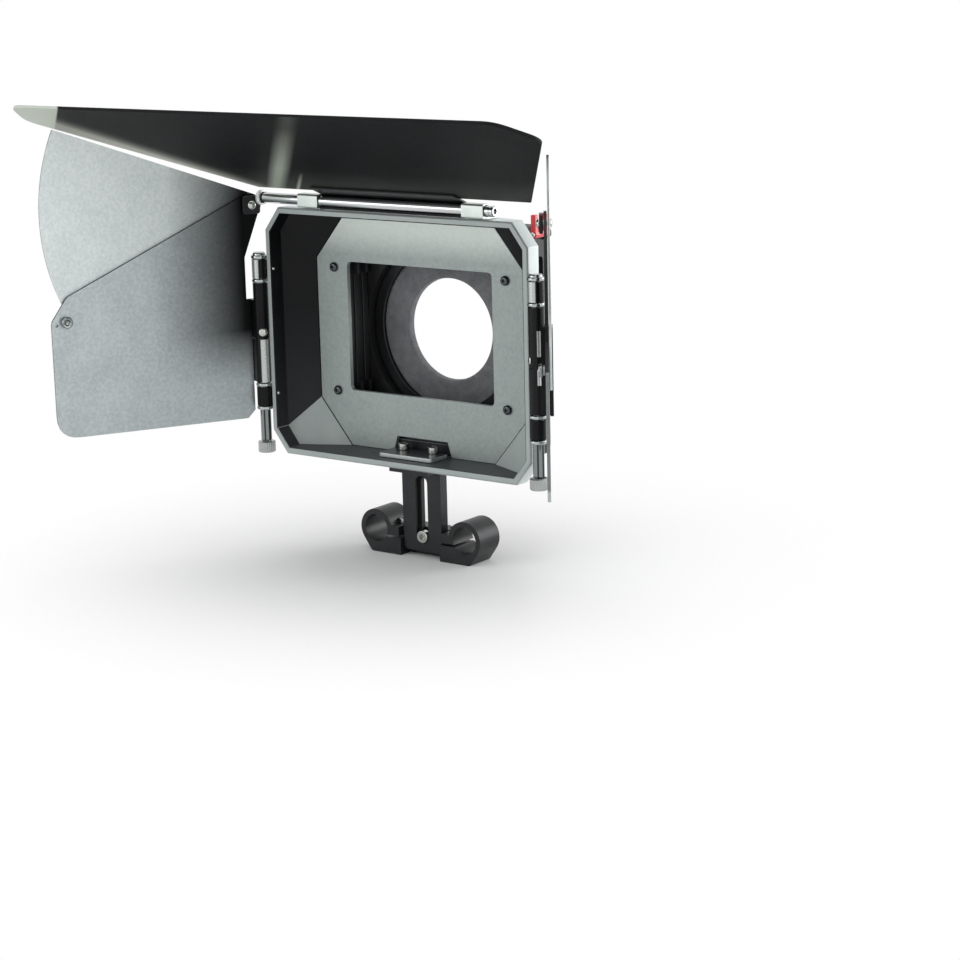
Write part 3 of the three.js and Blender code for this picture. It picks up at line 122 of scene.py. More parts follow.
def add(tree, kind, settings=None, links=None):
    """Adds a node with its settings and links.

    A setting is a socket or an attribute of the node, or "stops", the places and colours of a
    ramp. A link comes from an output, or from a node, which means its first output in use.
    """
    made = tree.nodes.new(kind)
    for key, value in (settings or {}).items():
        if key == "stops":
            for stop, place in zip(made.color_ramp.elements, value):
                stop.position = place
                stop.color = linear(value[place])
        elif isinstance(key, str) and hasattr(made, key):
            setattr(made, key, value)
        else:
            made.inputs[key].default_value = value
    for key, source in (links or {}).items():
        if isinstance(source, bpy.types.Node):
            source = next(output for output in source.outputs if output.enabled)
        tree.links.new(source, made.inputs[key])
    return made


def new_material(name):
    """An empty material with its tree and its object coordinates."""
    material = bpy.data.materials.new(name)
    material.use_nodes = True
    tree = material.node_tree
    tree.nodes.clear()
    where = add(tree, "ShaderNodeTexCoord").outputs["Object"]
    return material, tree, where


def finish_material(tree, settings, links, rough=None, relief=None):
    """Adds the shader and joins it to the output.

    rough is a pattern with the least and the most roughness that it gives, and relief is a
    pattern with its height in metres. Either can be left out.
    """
    links = dict(links)
    if rough:
        pattern, least, most = rough
        spread = {"From Min": DIP, "From Max": PEAK, "To Min": least, "To Max": most}
        links["Roughness"] = add(tree, "ShaderNodeMapRange", spread, {"Value": pattern})
    if relief:
        pattern, depth = relief
        links["Normal"] = add(tree, "ShaderNodeBump", {"Distance": depth}, {"Height": pattern})
    shader = add(tree, "ShaderNodeBsdfPrincipled", settings, links)
    add(tree, "ShaderNodeOutputMaterial", links={"Surface": shader})


def stripe(tree, value, start, end, soft):
    """1 where value is between start and end, with soft edges, and 0 elsewhere."""
    rise = add(tree, "ShaderNodeMapRange", {"From Min": start - soft, "From Max": start + soft}, {"Value": value})
    fall = add(tree, "ShaderNodeMapRange", {"From Min": end + soft, "From Max": end - soft}, {"Value": value})
    return add(tree, "ShaderNodeMath", {"operation": "MULTIPLY"}, {0: rise, 1: fall})


print("white in linear light:", linear("#ffffff"))

# %% [markdown]
# ## The hood's finish
# The hood is moulded in black ABS, a plastic with an IOR of about 1.54, and sprayed. The grey of its
# satin rim and outside is painted sheen on the black, and the outside is paler still as a painted
# highlight. Its inside is flocked black, so that no light is thrown back. Inside, the walls are darker
# high up as painted shade, and the floor and the two lower corner panels are paler as painted light
# from above. One material holds all of this: it tells inside from outside by whether a face looks
# towards the middle of the hood, and panels by how far they tilt.
# The grain is drawn at 0.45 mm, coarser than the real one, so that it shows.

# %% Hood
HOOD_MIDDLE = (0, -13 * MM, 108 * MM)
WALL_NEAR_MIDDLE = 2 * MM
# Painted light and shade: walls darker high up, floor and lower corner panels paler, rim grey as a sheen, outside
# paler as a highlight.
HOOD_TONES = {
    "upper_wall": ("#0c0d0f", "#111215"),
    "lower_wall": ("#2e3034", "#34363a"),
    "lit_floor": ("#54575b", "#5b5e61"),
    "corner_panel": ("#a9b2b1", "#b4bdba"),
    "rim": ("#9fa7a6", "#a9b1af"),
    "outside": ("#c9d1d0", "#d2d9d8"),
}


def hood_with_painted_light():
    material, tree, where = new_material("black_abs_with_painted_light")
    facing = add(tree, "ShaderNodeTexCoord").outputs["Normal"]
    grain = add(tree, "ShaderNodeTexNoise", {"Scale": 1 / (0.45 * MM), "Detail": 3}, {"Vector": where})
    clouds = add(tree, "ShaderNodeTexNoise", {"Scale": 1 / (18 * MM), "Detail": 3}, {"Vector": where})
    tones = {
        place: add(tree, "ShaderNodeValToRGB", {"stops": {DIP: dark, PEAK: pale}}, {"Fac": clouds})
        for place, (dark, pale) in HOOD_TONES.items()
    }

    # Inside: walls darker high up as painted shade, a floor paler as painted light from above, and the two lower
    # corner panels paler as painted light.
    height = add(tree, "ShaderNodeSeparateXYZ", links={"Vector": where}).outputs["Z"]
    looks = add(tree, "ShaderNodeSeparateXYZ", links={"Vector": facing}).outputs
    low_down = add(
        tree, "ShaderNodeMapRange", {"From Min": 120 * MM, "From Max": 60 * MM, "To Max": 0.8}, {"Value": height},
    )
    lit_from_above = add(tree, "ShaderNodeMapRange", {"From Min": 0.5, "From Max": 0.9}, {"Value": looks["Z"]})
    panel = stripe(tree, looks["Z"], 0.2, 0.5, 0.05)
    inside = add(
        tree, "ShaderNodeMix", {"data_type": "RGBA"}, {0: low_down, 6: tones["upper_wall"], 7: tones["lower_wall"]},
    )
    inside = add(tree, "ShaderNodeMix", {"data_type": "RGBA"}, {0: lit_from_above, 6: inside, 7: tones["lit_floor"]})
    inside = add(tree, "ShaderNodeMix", {"data_type": "RGBA"}, {0: panel, 6: inside, 7: tones["corner_panel"]})

    # Outside: the rim looks ahead and is darker than the rest. Their grey is painted sheen, and the paler outside a
    # painted highlight. Only these outer faces are a little metallic.
    not_ahead = add(tree, "ShaderNodeMapRange", {"From Min": -0.7, "From Max": -0.4}, {"Value": looks["Y"]})
    coat = add(tree, "ShaderNodeMix", {"data_type": "RGBA"}, {0: not_ahead, 6: tones["rim"], 7: tones["outside"]})
    from_middle = add(tree, "ShaderNodeVectorMath", {"operation": "SUBTRACT", 1: HOOD_MIDDLE}, {0: where})
    outward = add(tree, "ShaderNodeVectorMath", {"operation": "DOT_PRODUCT"}, {0: from_middle, 1: facing})
    outside, metal = (
        add(
            tree, "ShaderNodeMapRange",
            {"From Min": -WALL_NEAR_MIDDLE, "From Max": WALL_NEAR_MIDDLE, "To Max": most}, {"Value": outward},
        )
        for most in (1.0, 0.35)
    )
    colour = add(tree, "ShaderNodeMix", {"data_type": "RGBA"}, {0: outside, 6: inside, 7: coat})
    finish_material(
        tree, {"IOR": 1.54, "Specular IOR Level": 0.15}, {"Base Color": colour, "Metallic": metal},
        rough=(clouds, 0.4, 0.46), relief=(grain, 0.02 * MM),
    )
    return material


hood_coat = hood_with_painted_light()
print("hood finish:", hood_coat.name)

# %% [markdown]
# ## Flags with a painted dark reflection towards their hinge
# The side flags are pale at the front and nearly black beside the hinge, above their lower edge, where
# they mirror the dark hood. The studio here has nothing dark for them to mirror, so that dark is a
# painted reflection, drawn by distance from the hinge rod, and it stays on the sheet at every pose. The
# thin upper edge is darker as a painted shadow, and the front edge is darker too; both are found by the
# way that those faces look. Both sides share one material, so what is left of the box's axis is treated
# like what is right of it.

# %% The painted dark beside the hinge
HINGE_ACROSS = 91.9 * MM
HINGE_AHEAD = 26.5 * MM
ALONG_FLAG = (0.52, -0.85, 0)


def hinge_reflection_painted_dark(tree, where, colour, widest):
    """The colour, with a painted dark reflection near either hinge rod above the lower part of the flag, a painted
    shadow on the upper edge, and a darker front edge.
    """
    facing = add(tree, "ShaderNodeTexCoord").outputs["Normal"]
    place = add(tree, "ShaderNodeSeparateXYZ", links={"Vector": where}).outputs
    looks = add(tree, "ShaderNodeSeparateXYZ", links={"Vector": facing}).outputs
    out = add(tree, "ShaderNodeMath", {"operation": "ABSOLUTE"}, {0: place["X"]})
    across = add(tree, "ShaderNodeMath", {"operation": "SUBTRACT", 1: HINGE_ACROSS}, {0: out})
    ahead = add(tree, "ShaderNodeMath", {"operation": "ADD", 1: HINGE_AHEAD}, {0: place["Y"]})
    from_rod = add(tree, "ShaderNodeCombineXYZ", links={"X": across, "Y": ahead})
    reach = add(tree, "ShaderNodeVectorMath", {"operation": "LENGTH"}, {0: from_rod})
    # Painted dark reflection near the hinge rod, above the lower part of the sheet.
    near = add(tree, "ShaderNodeMapRange", {"From Min": widest, "From Max": 9 * MM}, {"Value": reach})
    raised = add(tree, "ShaderNodeMapRange", {"From Min": 80 * MM, "From Max": 108 * MM}, {"Value": place["Z"]})
    near_raised = add(tree, "ShaderNodeMath", {"operation": "MULTIPLY"}, {0: near, 1: raised})
    # Painted shadow along the thin upper edge.
    painted_shadow_upper_edge = add(
        tree, "ShaderNodeMapRange", {"From Min": 0.2, "From Max": 0.4, "To Max": 0.95}, {"Value": looks["Z"]},
    )
    outwards = add(tree, "ShaderNodeMath", {"operation": "ABSOLUTE"}, {0: looks["X"]})
    mirrored = add(tree, "ShaderNodeCombineXYZ", links={"X": outwards, "Y": looks["Y"]})
    along = add(tree, "ShaderNodeVectorMath", {"operation": "DOT_PRODUCT", 1: ALONG_FLAG}, {0: mirrored})
    front_edge = add(tree, "ShaderNodeMapRange", {"From Min": 0.93, "From Max": 0.97, "To Max": 0.6}, {"Value": along})
    dark = add(tree, "ShaderNodeMath", {"operation": "MAXIMUM"}, {0: near_raised, 1: painted_shadow_upper_edge})
    dark = add(tree, "ShaderNodeMath", {"operation": "MAXIMUM"}, {0: dark, 1: front_edge})
    return add(tree, "ShaderNodeMix", {"data_type": "RGBA", 7: linear("#08090a")}, {0: dark, 6: colour})


print("hinge rods", 2 * HINGE_ACROSS / MM, "mm apart")

# %% [markdown]
# ## Coated and anodised sheets
# The mask plate, the foot, the trays and the flags are black aluminium sheet, blasted first and then
# coated or anodised, so they have a fine sandy grain and faint clouds. The grey of the mask plate and
# the foot, and the pale tone of the side flags and fans, are painted sheen on that black. The mask plate
# is paler at the top as painted light, the foot plate's top is darker as painted shade, and the fans
# are the palest, as painted light. The grain is drawn at 0.6 mm, and at 0.7 mm on the trays, so that
# it shows.

# %% Coated sheets
MOTTLE_LOW, MOTTLE_HIGH = 0.55, 0.95
PAINTED_SHADE_ON_TOP = {MOTTLE_LOW: "#43484a", MOTTLE_HIGH: "#4c5153"}
PAINTED_LIGHT_ABOVE = {MOTTLE_LOW: "#dee7e1", MOTTLE_HIGH: "#e5ede7"}


def satin_sheet(
    name, low, high, metal, rough, depth,
    grain_size=0.6 * MM, hinge_dark=0.0, lit_above=0.0, shaded_top=False,
):
    """Sheet with a sandy grain. hinge_dark is how far the painted dark reflection reaches, lit_above the height of the
    painted light, shaded_top the painted shade on top faces.
    """
    material, tree, where = new_material(name)
    grain = add(tree, "ShaderNodeTexNoise", {"Scale": 1 / grain_size, "Detail": 4}, {"Vector": where})
    clouds = add(tree, "ShaderNodeTexNoise", {"Scale": 1 / (16 * MM), "Detail": 4}, {"Vector": where})
    coarse = add(tree, "ShaderNodeTexNoise", {"Scale": 1 / (1.7 * MM), "Detail": 2}, {"Vector": where})
    mottle = add(tree, "ShaderNodeMath", {"operation": "MULTIPLY_ADD", 1: 0.5}, {0: clouds, 2: coarse})
    stops = {MOTTLE_LOW: low, MOTTLE_HIGH: high}
    colour = add(tree, "ShaderNodeValToRGB", {"stops": stops}, {"Fac": mottle})
    if hinge_dark:
        colour = hinge_reflection_painted_dark(tree, where, colour, hinge_dark)
    if shaded_top:
        facing = add(tree, "ShaderNodeTexCoord").outputs["Normal"]
        up = add(tree, "ShaderNodeSeparateXYZ", links={"Vector": facing}).outputs["Z"]
        level = add(tree, "ShaderNodeMapRange", {"From Min": 0.7, "From Max": 0.95}, {"Value": up})
        darker = add(tree, "ShaderNodeValToRGB", {"stops": PAINTED_SHADE_ON_TOP}, {"Fac": mottle})
        colour = add(tree, "ShaderNodeMix", {"data_type": "RGBA"}, {0: level, 6: colour, 7: darker})
    if lit_above:
        height = add(tree, "ShaderNodeSeparateXYZ", links={"Vector": where}).outputs["Z"]
        paler = add(tree, "ShaderNodeValToRGB", {"stops": PAINTED_LIGHT_ABOVE}, {"Fac": mottle})
        fade = {"From Min": lit_above, "From Max": lit_above + 20 * MM}
        upper = add(tree, "ShaderNodeMapRange", fade, {"Value": height})
        colour = add(tree, "ShaderNodeMix", {"data_type": "RGBA"}, {0: upper, 6: colour, 7: paler})
    finish_material(
        tree, {"Metallic": metal}, {"Base Color": colour},
        rough=(grain, *rough), relief=(grain, depth),
    )
    return material


# Grey as painted sheen, paler at the top as painted light.
mask_coat = satin_sheet(
    "satin_coated_mask", "#949e9c", "#a0a9a6", metal=0.3, rough=(0.4, 0.46), depth=0.01 * MM,
    lit_above=150 * MM,
)
# Pale as painted sheen, darkened near the hinge as painted reflection.
flag_coat = satin_sheet(
    "blasted_anodised_flag", "#a3abad", "#b5bcbc", metal=0.8, rough=(0.36, 0.44), depth=0.012 * MM,
    hinge_dark=62 * MM,
)
# Paler than the flags as painted light.
fan_coat = satin_sheet(
    "blasted_anodised_fan", "#c3cbcb", "#d4dad9", metal=0.7, rough=(0.38, 0.46), depth=0.012 * MM,
    hinge_dark=50 * MM,
)
# Grey as painted sheen, with its top faces darker as painted shade.
foot_coat = satin_sheet(
    "satin_coated_foot", "#b4bcba", "#bfc7c4", metal=0.6, rough=(0.3, 0.36), depth=0.01 * MM,
    shaded_top=True,
)
tray_coat = satin_sheet(
    "black_coated_tray", "#1c1e20", "#232527", metal=0.0, rough=(0.4, 0.5), depth=0.015 * MM,
    grain_size=0.7 * MM,
)
print("sheet finishes:", [coat.name for coat in (mask_coat, flag_coat, fan_coat, foot_coat, tray_coat)])

# %% [markdown]
# ## The black top flag
# The top flag is black anodised aluminium and nearly matt. On its underside a pale streak runs out
# from the hood with a thin one beside it, and a pale band lies where the left fan meets it: both are
# painted reflections. Its left front corner is pale as a painted reflection too. Each of these follows
# a straight line on the sheet, which is written as a start and a lean: how far across it is for each
# step ahead.

# %% Top flag
STREAK_START = -102.4 * MM
STREAK_LEAN = 0.939
STREAK_APART = 15.4 * MM
CORNER_START = -281.7 * MM
CORNER_LEAN = 1.124
FAN_REFLECTION_START = 77.8 * MM
FAN_REFLECTION_LEAN = 0.532
# Painted reflections on the black: pale streaks, the fan's reflection and a pale corner.
TOP_FLAG_TONES = {
    "black": ("#0f1012", "#151618"),
    "polished": ("#b2beae", "#bcc7b8"),
    "fan_reflection_tone": ("#c9cbc0", "#d5d7cc"),
    "painted_shine": ("#bac2b7", "#c3cabf"),
}


def black_flag():
    material, tree, where = new_material("black_anodised_flag")
    facing = add(tree, "ShaderNodeTexCoord").outputs["Normal"]
    grain = add(tree, "ShaderNodeTexNoise", {"Scale": 1 / (0.6 * MM), "Detail": 4}, {"Vector": where})
    clouds = add(tree, "ShaderNodeTexNoise", {"Scale": 1 / (20 * MM), "Detail": 3}, {"Vector": where})
    tones = {
        name: add(
            tree, "ShaderNodeValToRGB", {"stops": {DIP: dark, PEAK: pale}},
            {"Fac": clouds if name == "black" else grain},
        )
        for name, (dark, pale) in TOP_FLAG_TONES.items()
    }
    place = add(tree, "ShaderNodeSeparateXYZ", links={"Vector": where}).outputs
    ahead = add(tree, "ShaderNodeMath", {"operation": "MULTIPLY", 1: -1.0}, {0: place["Y"]})
    streak_line, corner_line, fan_reflection_line = (
        add(tree, "ShaderNodeMath", {"operation": "MULTIPLY_ADD", 1: lean, 2: start}, {0: ahead})
        for lean, start in ((STREAK_LEAN, STREAK_START), (CORNER_LEAN, CORNER_START), (FAN_REFLECTION_LEAN, FAN_REFLECTION_START))
    )

    # The broad streak, the thin one beside it, and a faint sheen beside the hinge, all painted reflections.
    across = add(tree, "ShaderNodeMath", {"operation": "SUBTRACT"}, {0: place["X"], 1: streak_line})
    beside = add(tree, "ShaderNodeMath", {"operation": "ABSOLUTE"}, {0: across})
    broad = add(tree, "ShaderNodeMapRange", {"From Min": 8 * MM, "From Max": 1.5 * MM}, {"Value": beside})
    broad_fade = add(
        tree, "ShaderNodeMapRange",
        {"From Min": 64 * MM, "From Max": 128 * MM, "To Min": 0.72, "To Max": 0.1}, {"Value": ahead},
    )
    broad = add(tree, "ShaderNodeMath", {"operation": "MULTIPLY"}, {0: broad, 1: broad_fade})
    thin = stripe(tree, across, STREAK_APART - 1.1 * MM, STREAK_APART + 1.1 * MM, 0.8 * MM)
    thin_fade = add(
        tree, "ShaderNodeMapRange", {"From Min": 58 * MM, "From Max": 36 * MM, "To Max": 0.8}, {"Value": ahead},
    )
    thin = add(tree, "ShaderNodeMath", {"operation": "MULTIPLY"}, {0: thin, 1: thin_fade})
    near_hinge = add(
        tree, "ShaderNodeMapRange", {"From Min": 62 * MM, "From Max": 38 * MM, "To Max": 0.06}, {"Value": ahead},
    )
    polished = add(tree, "ShaderNodeMath", {"operation": "MAXIMUM"}, {0: broad, 1: thin})
    polished = add(tree, "ShaderNodeMath", {"operation": "MAXIMUM"}, {0: polished, 1: near_hinge})

    # The painted reflection of the left fan, which is strongest at the fan's own line.
    leftwards = add(tree, "ShaderNodeMath", {"operation": "MULTIPLY", 1: -1.0}, {0: place["X"]})
    beside_fan = add(tree, "ShaderNodeMath", {"operation": "SUBTRACT"}, {0: leftwards, 1: fan_reflection_line})
    painted_fan_reflection = add(tree, "ShaderNodeMapRange", {"From Min": -24 * MM, "From Max": 2 * MM}, {"Value": beside_fan})
    painted_fan_reflection = add(tree, "ShaderNodeMath", {"operation": "POWER", 1: 2.6}, {0: painted_fan_reflection})
    fan_reflection_fade = add(
        tree, "ShaderNodeMapRange",
        {"From Min": 60 * MM, "From Max": 150 * MM, "To Min": 0.95, "To Max": 0.3}, {"Value": ahead},
    )
    painted_fan_reflection = add(tree, "ShaderNodeMath", {"operation": "MULTIPLY"}, {0: painted_fan_reflection, 1: fan_reflection_fade})

    # Both are only underneath. The pale corner, a painted reflection, goes right through.
    up = add(tree, "ShaderNodeSeparateXYZ", links={"Vector": facing}).outputs["Z"]
    underneath = add(tree, "ShaderNodeMapRange", {"From Min": 0.0, "From Max": -0.2}, {"Value": up})
    polished = add(tree, "ShaderNodeMath", {"operation": "MULTIPLY"}, {0: polished, 1: underneath})
    painted_fan_reflection = add(tree, "ShaderNodeMath", {"operation": "MULTIPLY"}, {0: painted_fan_reflection, 1: underneath})
    past_corner = add(tree, "ShaderNodeMath", {"operation": "SUBTRACT"}, {0: corner_line, 1: place["X"]})
    painted_shine = add(tree, "ShaderNodeMapRange", {"From Min": -0.6 * MM, "From Max": 0.6 * MM}, {"Value": past_corner})
    colour = tones["black"]
    for factor, name in ((polished, "polished"), (painted_fan_reflection, "fan_reflection_tone"), (painted_shine, "painted_shine")):
        colour = add(tree, "ShaderNodeMix", {"data_type": "RGBA"}, {0: factor, 6: colour, 7: tones[name]})
    finish_material(
        tree, {"Specular IOR Level": 0.1}, {"Base Color": colour},
        rough=(grain, 0.5, 0.58), relief=(grain, 0.008 * MM),
    )
    return material


top_coat = black_flag()
print("top flag finish:", top_coat.name)

# %% [markdown]
# ## Moulded stage
# The stage behind the hood is moulded in plain black ABS. The mould is spark eroded, which leaves
# a fine satin grain. It is drawn at 0.45 mm, about twice its real size, so that it shows.

# %% Stage
def moulded_abs(name, dark, light, rough):
    material, tree, where = new_material(name)
    grain = add(tree, "ShaderNodeTexNoise", {"Scale": 1 / (0.45 * MM), "Detail": 3}, {"Vector": where})
    clouds = add(tree, "ShaderNodeTexNoise", {"Scale": 1 / (22 * MM), "Detail": 4}, {"Vector": where})
    colour = add(tree, "ShaderNodeValToRGB", {"stops": {DIP: dark, PEAK: light}}, {"Fac": clouds})
    finish_material(
        tree, {"IOR": 1.54}, {"Base Color": colour},
        rough=(clouds, *rough), relief=(grain, 0.03 * MM),
    )
    return material


stage_abs = moulded_abs("moulded_stage_abs", "#151618", "#1a1b1e", rough=(0.45, 0.55))
print("stage finish:", stage_abs.name)

# %% [markdown]
# ## Blasted and anodised blocks
# Blocks milled from aluminium are bead blasted and then anodised: black on the clamp, the post,
# the rear collar, the fans' bosses and the top leaf, and clear on the two top brackets. The lower
# hinge brackets and the left upper leaf are glossy black barrels. The side knobs are plated with
# nickel, and the top one is paler. The blasting is drawn at 0.35 mm, coarser than the real one.

# %% Blasted metals
def blasted_metal(name, low, high, metal, rough, specular=0.5):
    material, tree, where = new_material(name)
    grain = add(tree, "ShaderNodeTexNoise", {"Scale": 1 / (0.35 * MM), "Detail": 3}, {"Vector": where})
    clouds = add(tree, "ShaderNodeTexNoise", {"Scale": 1 / (9 * MM), "Detail": 3}, {"Vector": where})
    colour = add(tree, "ShaderNodeValToRGB", {"stops": {DIP: low, PEAK: high}}, {"Fac": clouds})
    finish_material(
        tree, {"Metallic": metal, "Specular IOR Level": specular}, {"Base Color": colour},
        rough=(grain, *rough), relief=(grain, 0.012 * MM),
    )
    return material


black_anodised = blasted_metal(
    "black_anodised_aluminium", "#1a1b1d", "#232527", metal=0.35, rough=(0.36, 0.46),
)
gloss_black = blasted_metal(
    "polished_black_barrel", "#0c0d0f", "#121315", metal=0.0, rough=(0.2, 0.28), specular=0.15,
)
clear_anodised = blasted_metal(
    "clear_anodised_aluminium", "#b3bab6", "#c2c8c4", metal=0.9, rough=(0.3, 0.38),
)
steel_knob = blasted_metal("nickel_plated_knob", "#9a9e9d", "#abafad", metal=0.95, rough=(0.28, 0.36))
pale_knob = blasted_metal("bare_aluminium_knob", "#dde1df", "#e8ebe9", metal=0.5, rough=(0.32, 0.4))
print("block finishes:", [
    metal.name for metal in (black_anodised, gloss_black, clear_anodised, steel_knob, pale_knob)
])

# %% [markdown]
# ## Turned steel
# The top rod and the screws are steel, turned on a lathe and polished or plated. The tool leaves
# hairline rings on the rod, drawn 0.15 mm apart: the noise is drawn out across the rod's axis,
# which turns its blotches into rings. The screws are too small for that, and have a fine grain of
# the same size.

# %% Turned metals
ACROSS = 0.02
HAIRLINE = 0.15 * MM


def turned_metal(name, tone, roughness, stretch):
    """Polished metal with hairline rings across one axis, which stretch picks."""
    material, tree, where = new_material(name)
    stretched = add(tree, "ShaderNodeMapping", {"Scale": stretch}, {"Vector": where})
    rings = add(tree, "ShaderNodeTexNoise", {"Scale": 1 / HAIRLINE, "Detail": 1}, {"Vector": stretched})
    finish_material(
        tree, {"Metallic": 1.0, "Base Color": linear(tone)}, {},
        rough=(rings, roughness, roughness + 0.06), relief=(rings, 0.0015 * MM),
    )
    return material


level_chrome = turned_metal("chromed_rod_level", "#c3c6c7", 0.1, (1, ACROSS, ACROSS))
bright_steel = turned_metal("polished_screw_steel", "#bcbfba", 0.16, (1, 1, 1))
grey_steel = turned_metal("galvanised_stud_steel", "#868b8a", 0.2, (1, 1, 1))
dark_steel = turned_metal("blackened_screw_steel", "#4e5154", 0.12, (1, 1, 1))
print("turned finishes:", [
    metal.name for metal in (level_chrome, bright_steel, grey_steel, dark_steel)
])

# %% [markdown]
# ## Barrels and leaves with painted reflections
# The upper hinge brackets and the left lower leaf are curled round the rod and finished in glossy
# black, with a pale stripe down one side that is a painted reflection. The stripe is found by the way
# that the curled face looks: a dot product with one level direction goes round the rod like the hand
# of a clock.

# %% Curled barrels and leaves
ROUND_ROD = (0.8, 0.6, 0)
BARREL_BLACK = ("#0c0d0f", "#121315")


def curled_leaf(name, start, end):
    """Black round the rod, with a pale stripe of painted reflection where a face looks a certain way round."""
    material, tree, where = new_material(name)
    facing = add(tree, "ShaderNodeTexCoord").outputs["Normal"]
    grain = add(tree, "ShaderNodeTexNoise", {"Scale": 1 / (0.35 * MM), "Detail": 3}, {"Vector": where})
    black, pale = (
        add(tree, "ShaderNodeValToRGB", {"stops": {DIP: low, PEAK: high}}, {"Fac": grain})
        for low, high in (BARREL_BLACK, ("#b9c0bc", "#c6ccc8"))
    )
    round_rod = add(tree, "ShaderNodeVectorMath", {"operation": "DOT_PRODUCT", 1: ROUND_ROD}, {0: facing})
    forwards = add(tree, "ShaderNodeSeparateXYZ", links={"Vector": facing}).outputs["Y"]
    ahead = add(tree, "ShaderNodeMapRange", {"From Min": 0.1, "From Max": -0.1}, {"Value": forwards})
    # The pale stripe is a painted reflection, on faces that look forwards.
    down_side = stripe(tree, round_rod, start, end, 0.06)
    painted_shine = add(tree, "ShaderNodeMath", {"operation": "MULTIPLY"}, {0: down_side, 1: ahead})
    colour = add(tree, "ShaderNodeMix", {"data_type": "RGBA"}, {0: painted_shine, 6: black, 7: pale})
    metal = add(tree, "ShaderNodeMath", {"operation": "MULTIPLY", 1: 0.7}, {0: painted_shine})
    finish_material(
        tree, {"Specular IOR Level": 0.2}, {"Base Color": colour, "Metallic": metal}, rough=(grain, 0.2, 0.28),
    )
    return material


barrel_reflection_ahead = curled_leaf("black_barrel_painted_reflection_in_front", -1.2, -0.1)
leaf_reflection_inside = curled_leaf("black_leaf_painted_reflection_beside_hood", -0.2, 1.2)
print("curled finishes:", barrel_reflection_ahead.name, leaf_reflection_inside.name)

# %% [markdown]
# ## Leaves with painted highlights in slots
# The right leaves show two bright slots on their front, beside the rod, with a fainter patch above
# them. The brightness of both is a painted highlight. They lie at measured heights, so they are drawn
# by height and by distance from the rod, and only where the leaf looks forwards.

# %% Slotted leaves
LEAF_AHEAD = (0.566, -0.824, 0)
LEAF_ACROSS = (0.824, 0.566, 0)
RIGHT_ROD = (HINGE_ACROSS, -HINGE_AHEAD, 0)
LOWER_SLOT = (94.4 * MM, 102.6 * MM)
UPPER_SLOT = (109.2 * MM, 122.3 * MM)


def slotted_leaf():
    """Black, with two painted highlights shaped as slots down the front of the leaf, beside the rod."""
    material, tree, where = new_material("black_leaf_painted_highlight_slots")
    facing = add(tree, "ShaderNodeTexCoord").outputs["Normal"]
    grain = add(tree, "ShaderNodeTexNoise", {"Scale": 1 / (0.35 * MM), "Detail": 3}, {"Vector": where})
    black, bright = (
        add(tree, "ShaderNodeValToRGB", {"stops": {DIP: low, PEAK: high}}, {"Fac": grain})
        for low, high in (BARREL_BLACK, ("#eef4f4", "#f8fbfb"))
    )
    height = add(tree, "ShaderNodeSeparateXYZ", links={"Vector": where}).outputs["Z"]
    from_rod = add(tree, "ShaderNodeVectorMath", {"operation": "SUBTRACT", 1: RIGHT_ROD}, {0: where})
    across = add(tree, "ShaderNodeVectorMath", {"operation": "DOT_PRODUCT", 1: LEAF_ACROSS}, {0: from_rod})
    slot_column = stripe(tree, across, 0.2 * MM, 2.0 * MM, 0.15 * MM)
    lower, upper = (stripe(tree, height, *slot, 0.2 * MM) for slot in (LOWER_SLOT, UPPER_SLOT))
    either = add(tree, "ShaderNodeMath", {"operation": "MAXIMUM"}, {0: lower, 1: upper})
    slots = add(tree, "ShaderNodeMath", {"operation": "MULTIPLY"}, {0: slot_column, 1: either})
    patch_column = stripe(tree, across, 2.4 * MM, 4.6 * MM, 0.4 * MM)
    above = add(
        tree, "ShaderNodeMapRange", {"From Min": 124.4 * MM, "From Max": 125 * MM, "To Max": 0.3}, {"Value": height},
    )
    patch = add(tree, "ShaderNodeMath", {"operation": "MULTIPLY"}, {0: patch_column, 1: above})
    # Painted highlights: the two slots and the fainter patch above them.
    bright_places = add(tree, "ShaderNodeMath", {"operation": "MAXIMUM"}, {0: slots, 1: patch})
    forwards = add(tree, "ShaderNodeVectorMath", {"operation": "DOT_PRODUCT", 1: LEAF_AHEAD}, {0: facing})
    in_front = add(tree, "ShaderNodeMapRange", {"From Min": 0.9, "From Max": 0.95}, {"Value": forwards})
    painted_shine = add(tree, "ShaderNodeMath", {"operation": "MULTIPLY"}, {0: bright_places, 1: in_front})
    colour = add(tree, "ShaderNodeMix", {"data_type": "RGBA"}, {0: painted_shine, 6: black, 7: bright})
    finish_material(
        tree, {"Specular IOR Level": 0.2}, {"Base Color": colour, "Metallic": painted_shine}, rough=(grain, 0.2, 0.28),
    )
    return material


leaf_highlight_slots = slotted_leaf()
print("slotted finish:", leaf_highlight_slots.name)

# %% [markdown]
# ## The hinge rods' chrome
# The hinge rods are chromed, with bright collars and caps. Below the lower bracket they are drawn
# duller, with two dark stripes: a painted reflection of a dark room. The stripes are drawn by the way
# that the face looks, and end under the lowest collar.

# %% Hinge rods' chrome
UNDER_COLLAR = 2.4 * MM
# Painted reflection: dimmer below the lowest collar, with dark stripes.
ROD_TONES = {
    "bright": ("#a8aead", "#b6bcbb"),
    "dim_below": ("#787e7d", "#868c8b"),
    "painted_dark_stripe": ("#25292a", "#313536"),
}


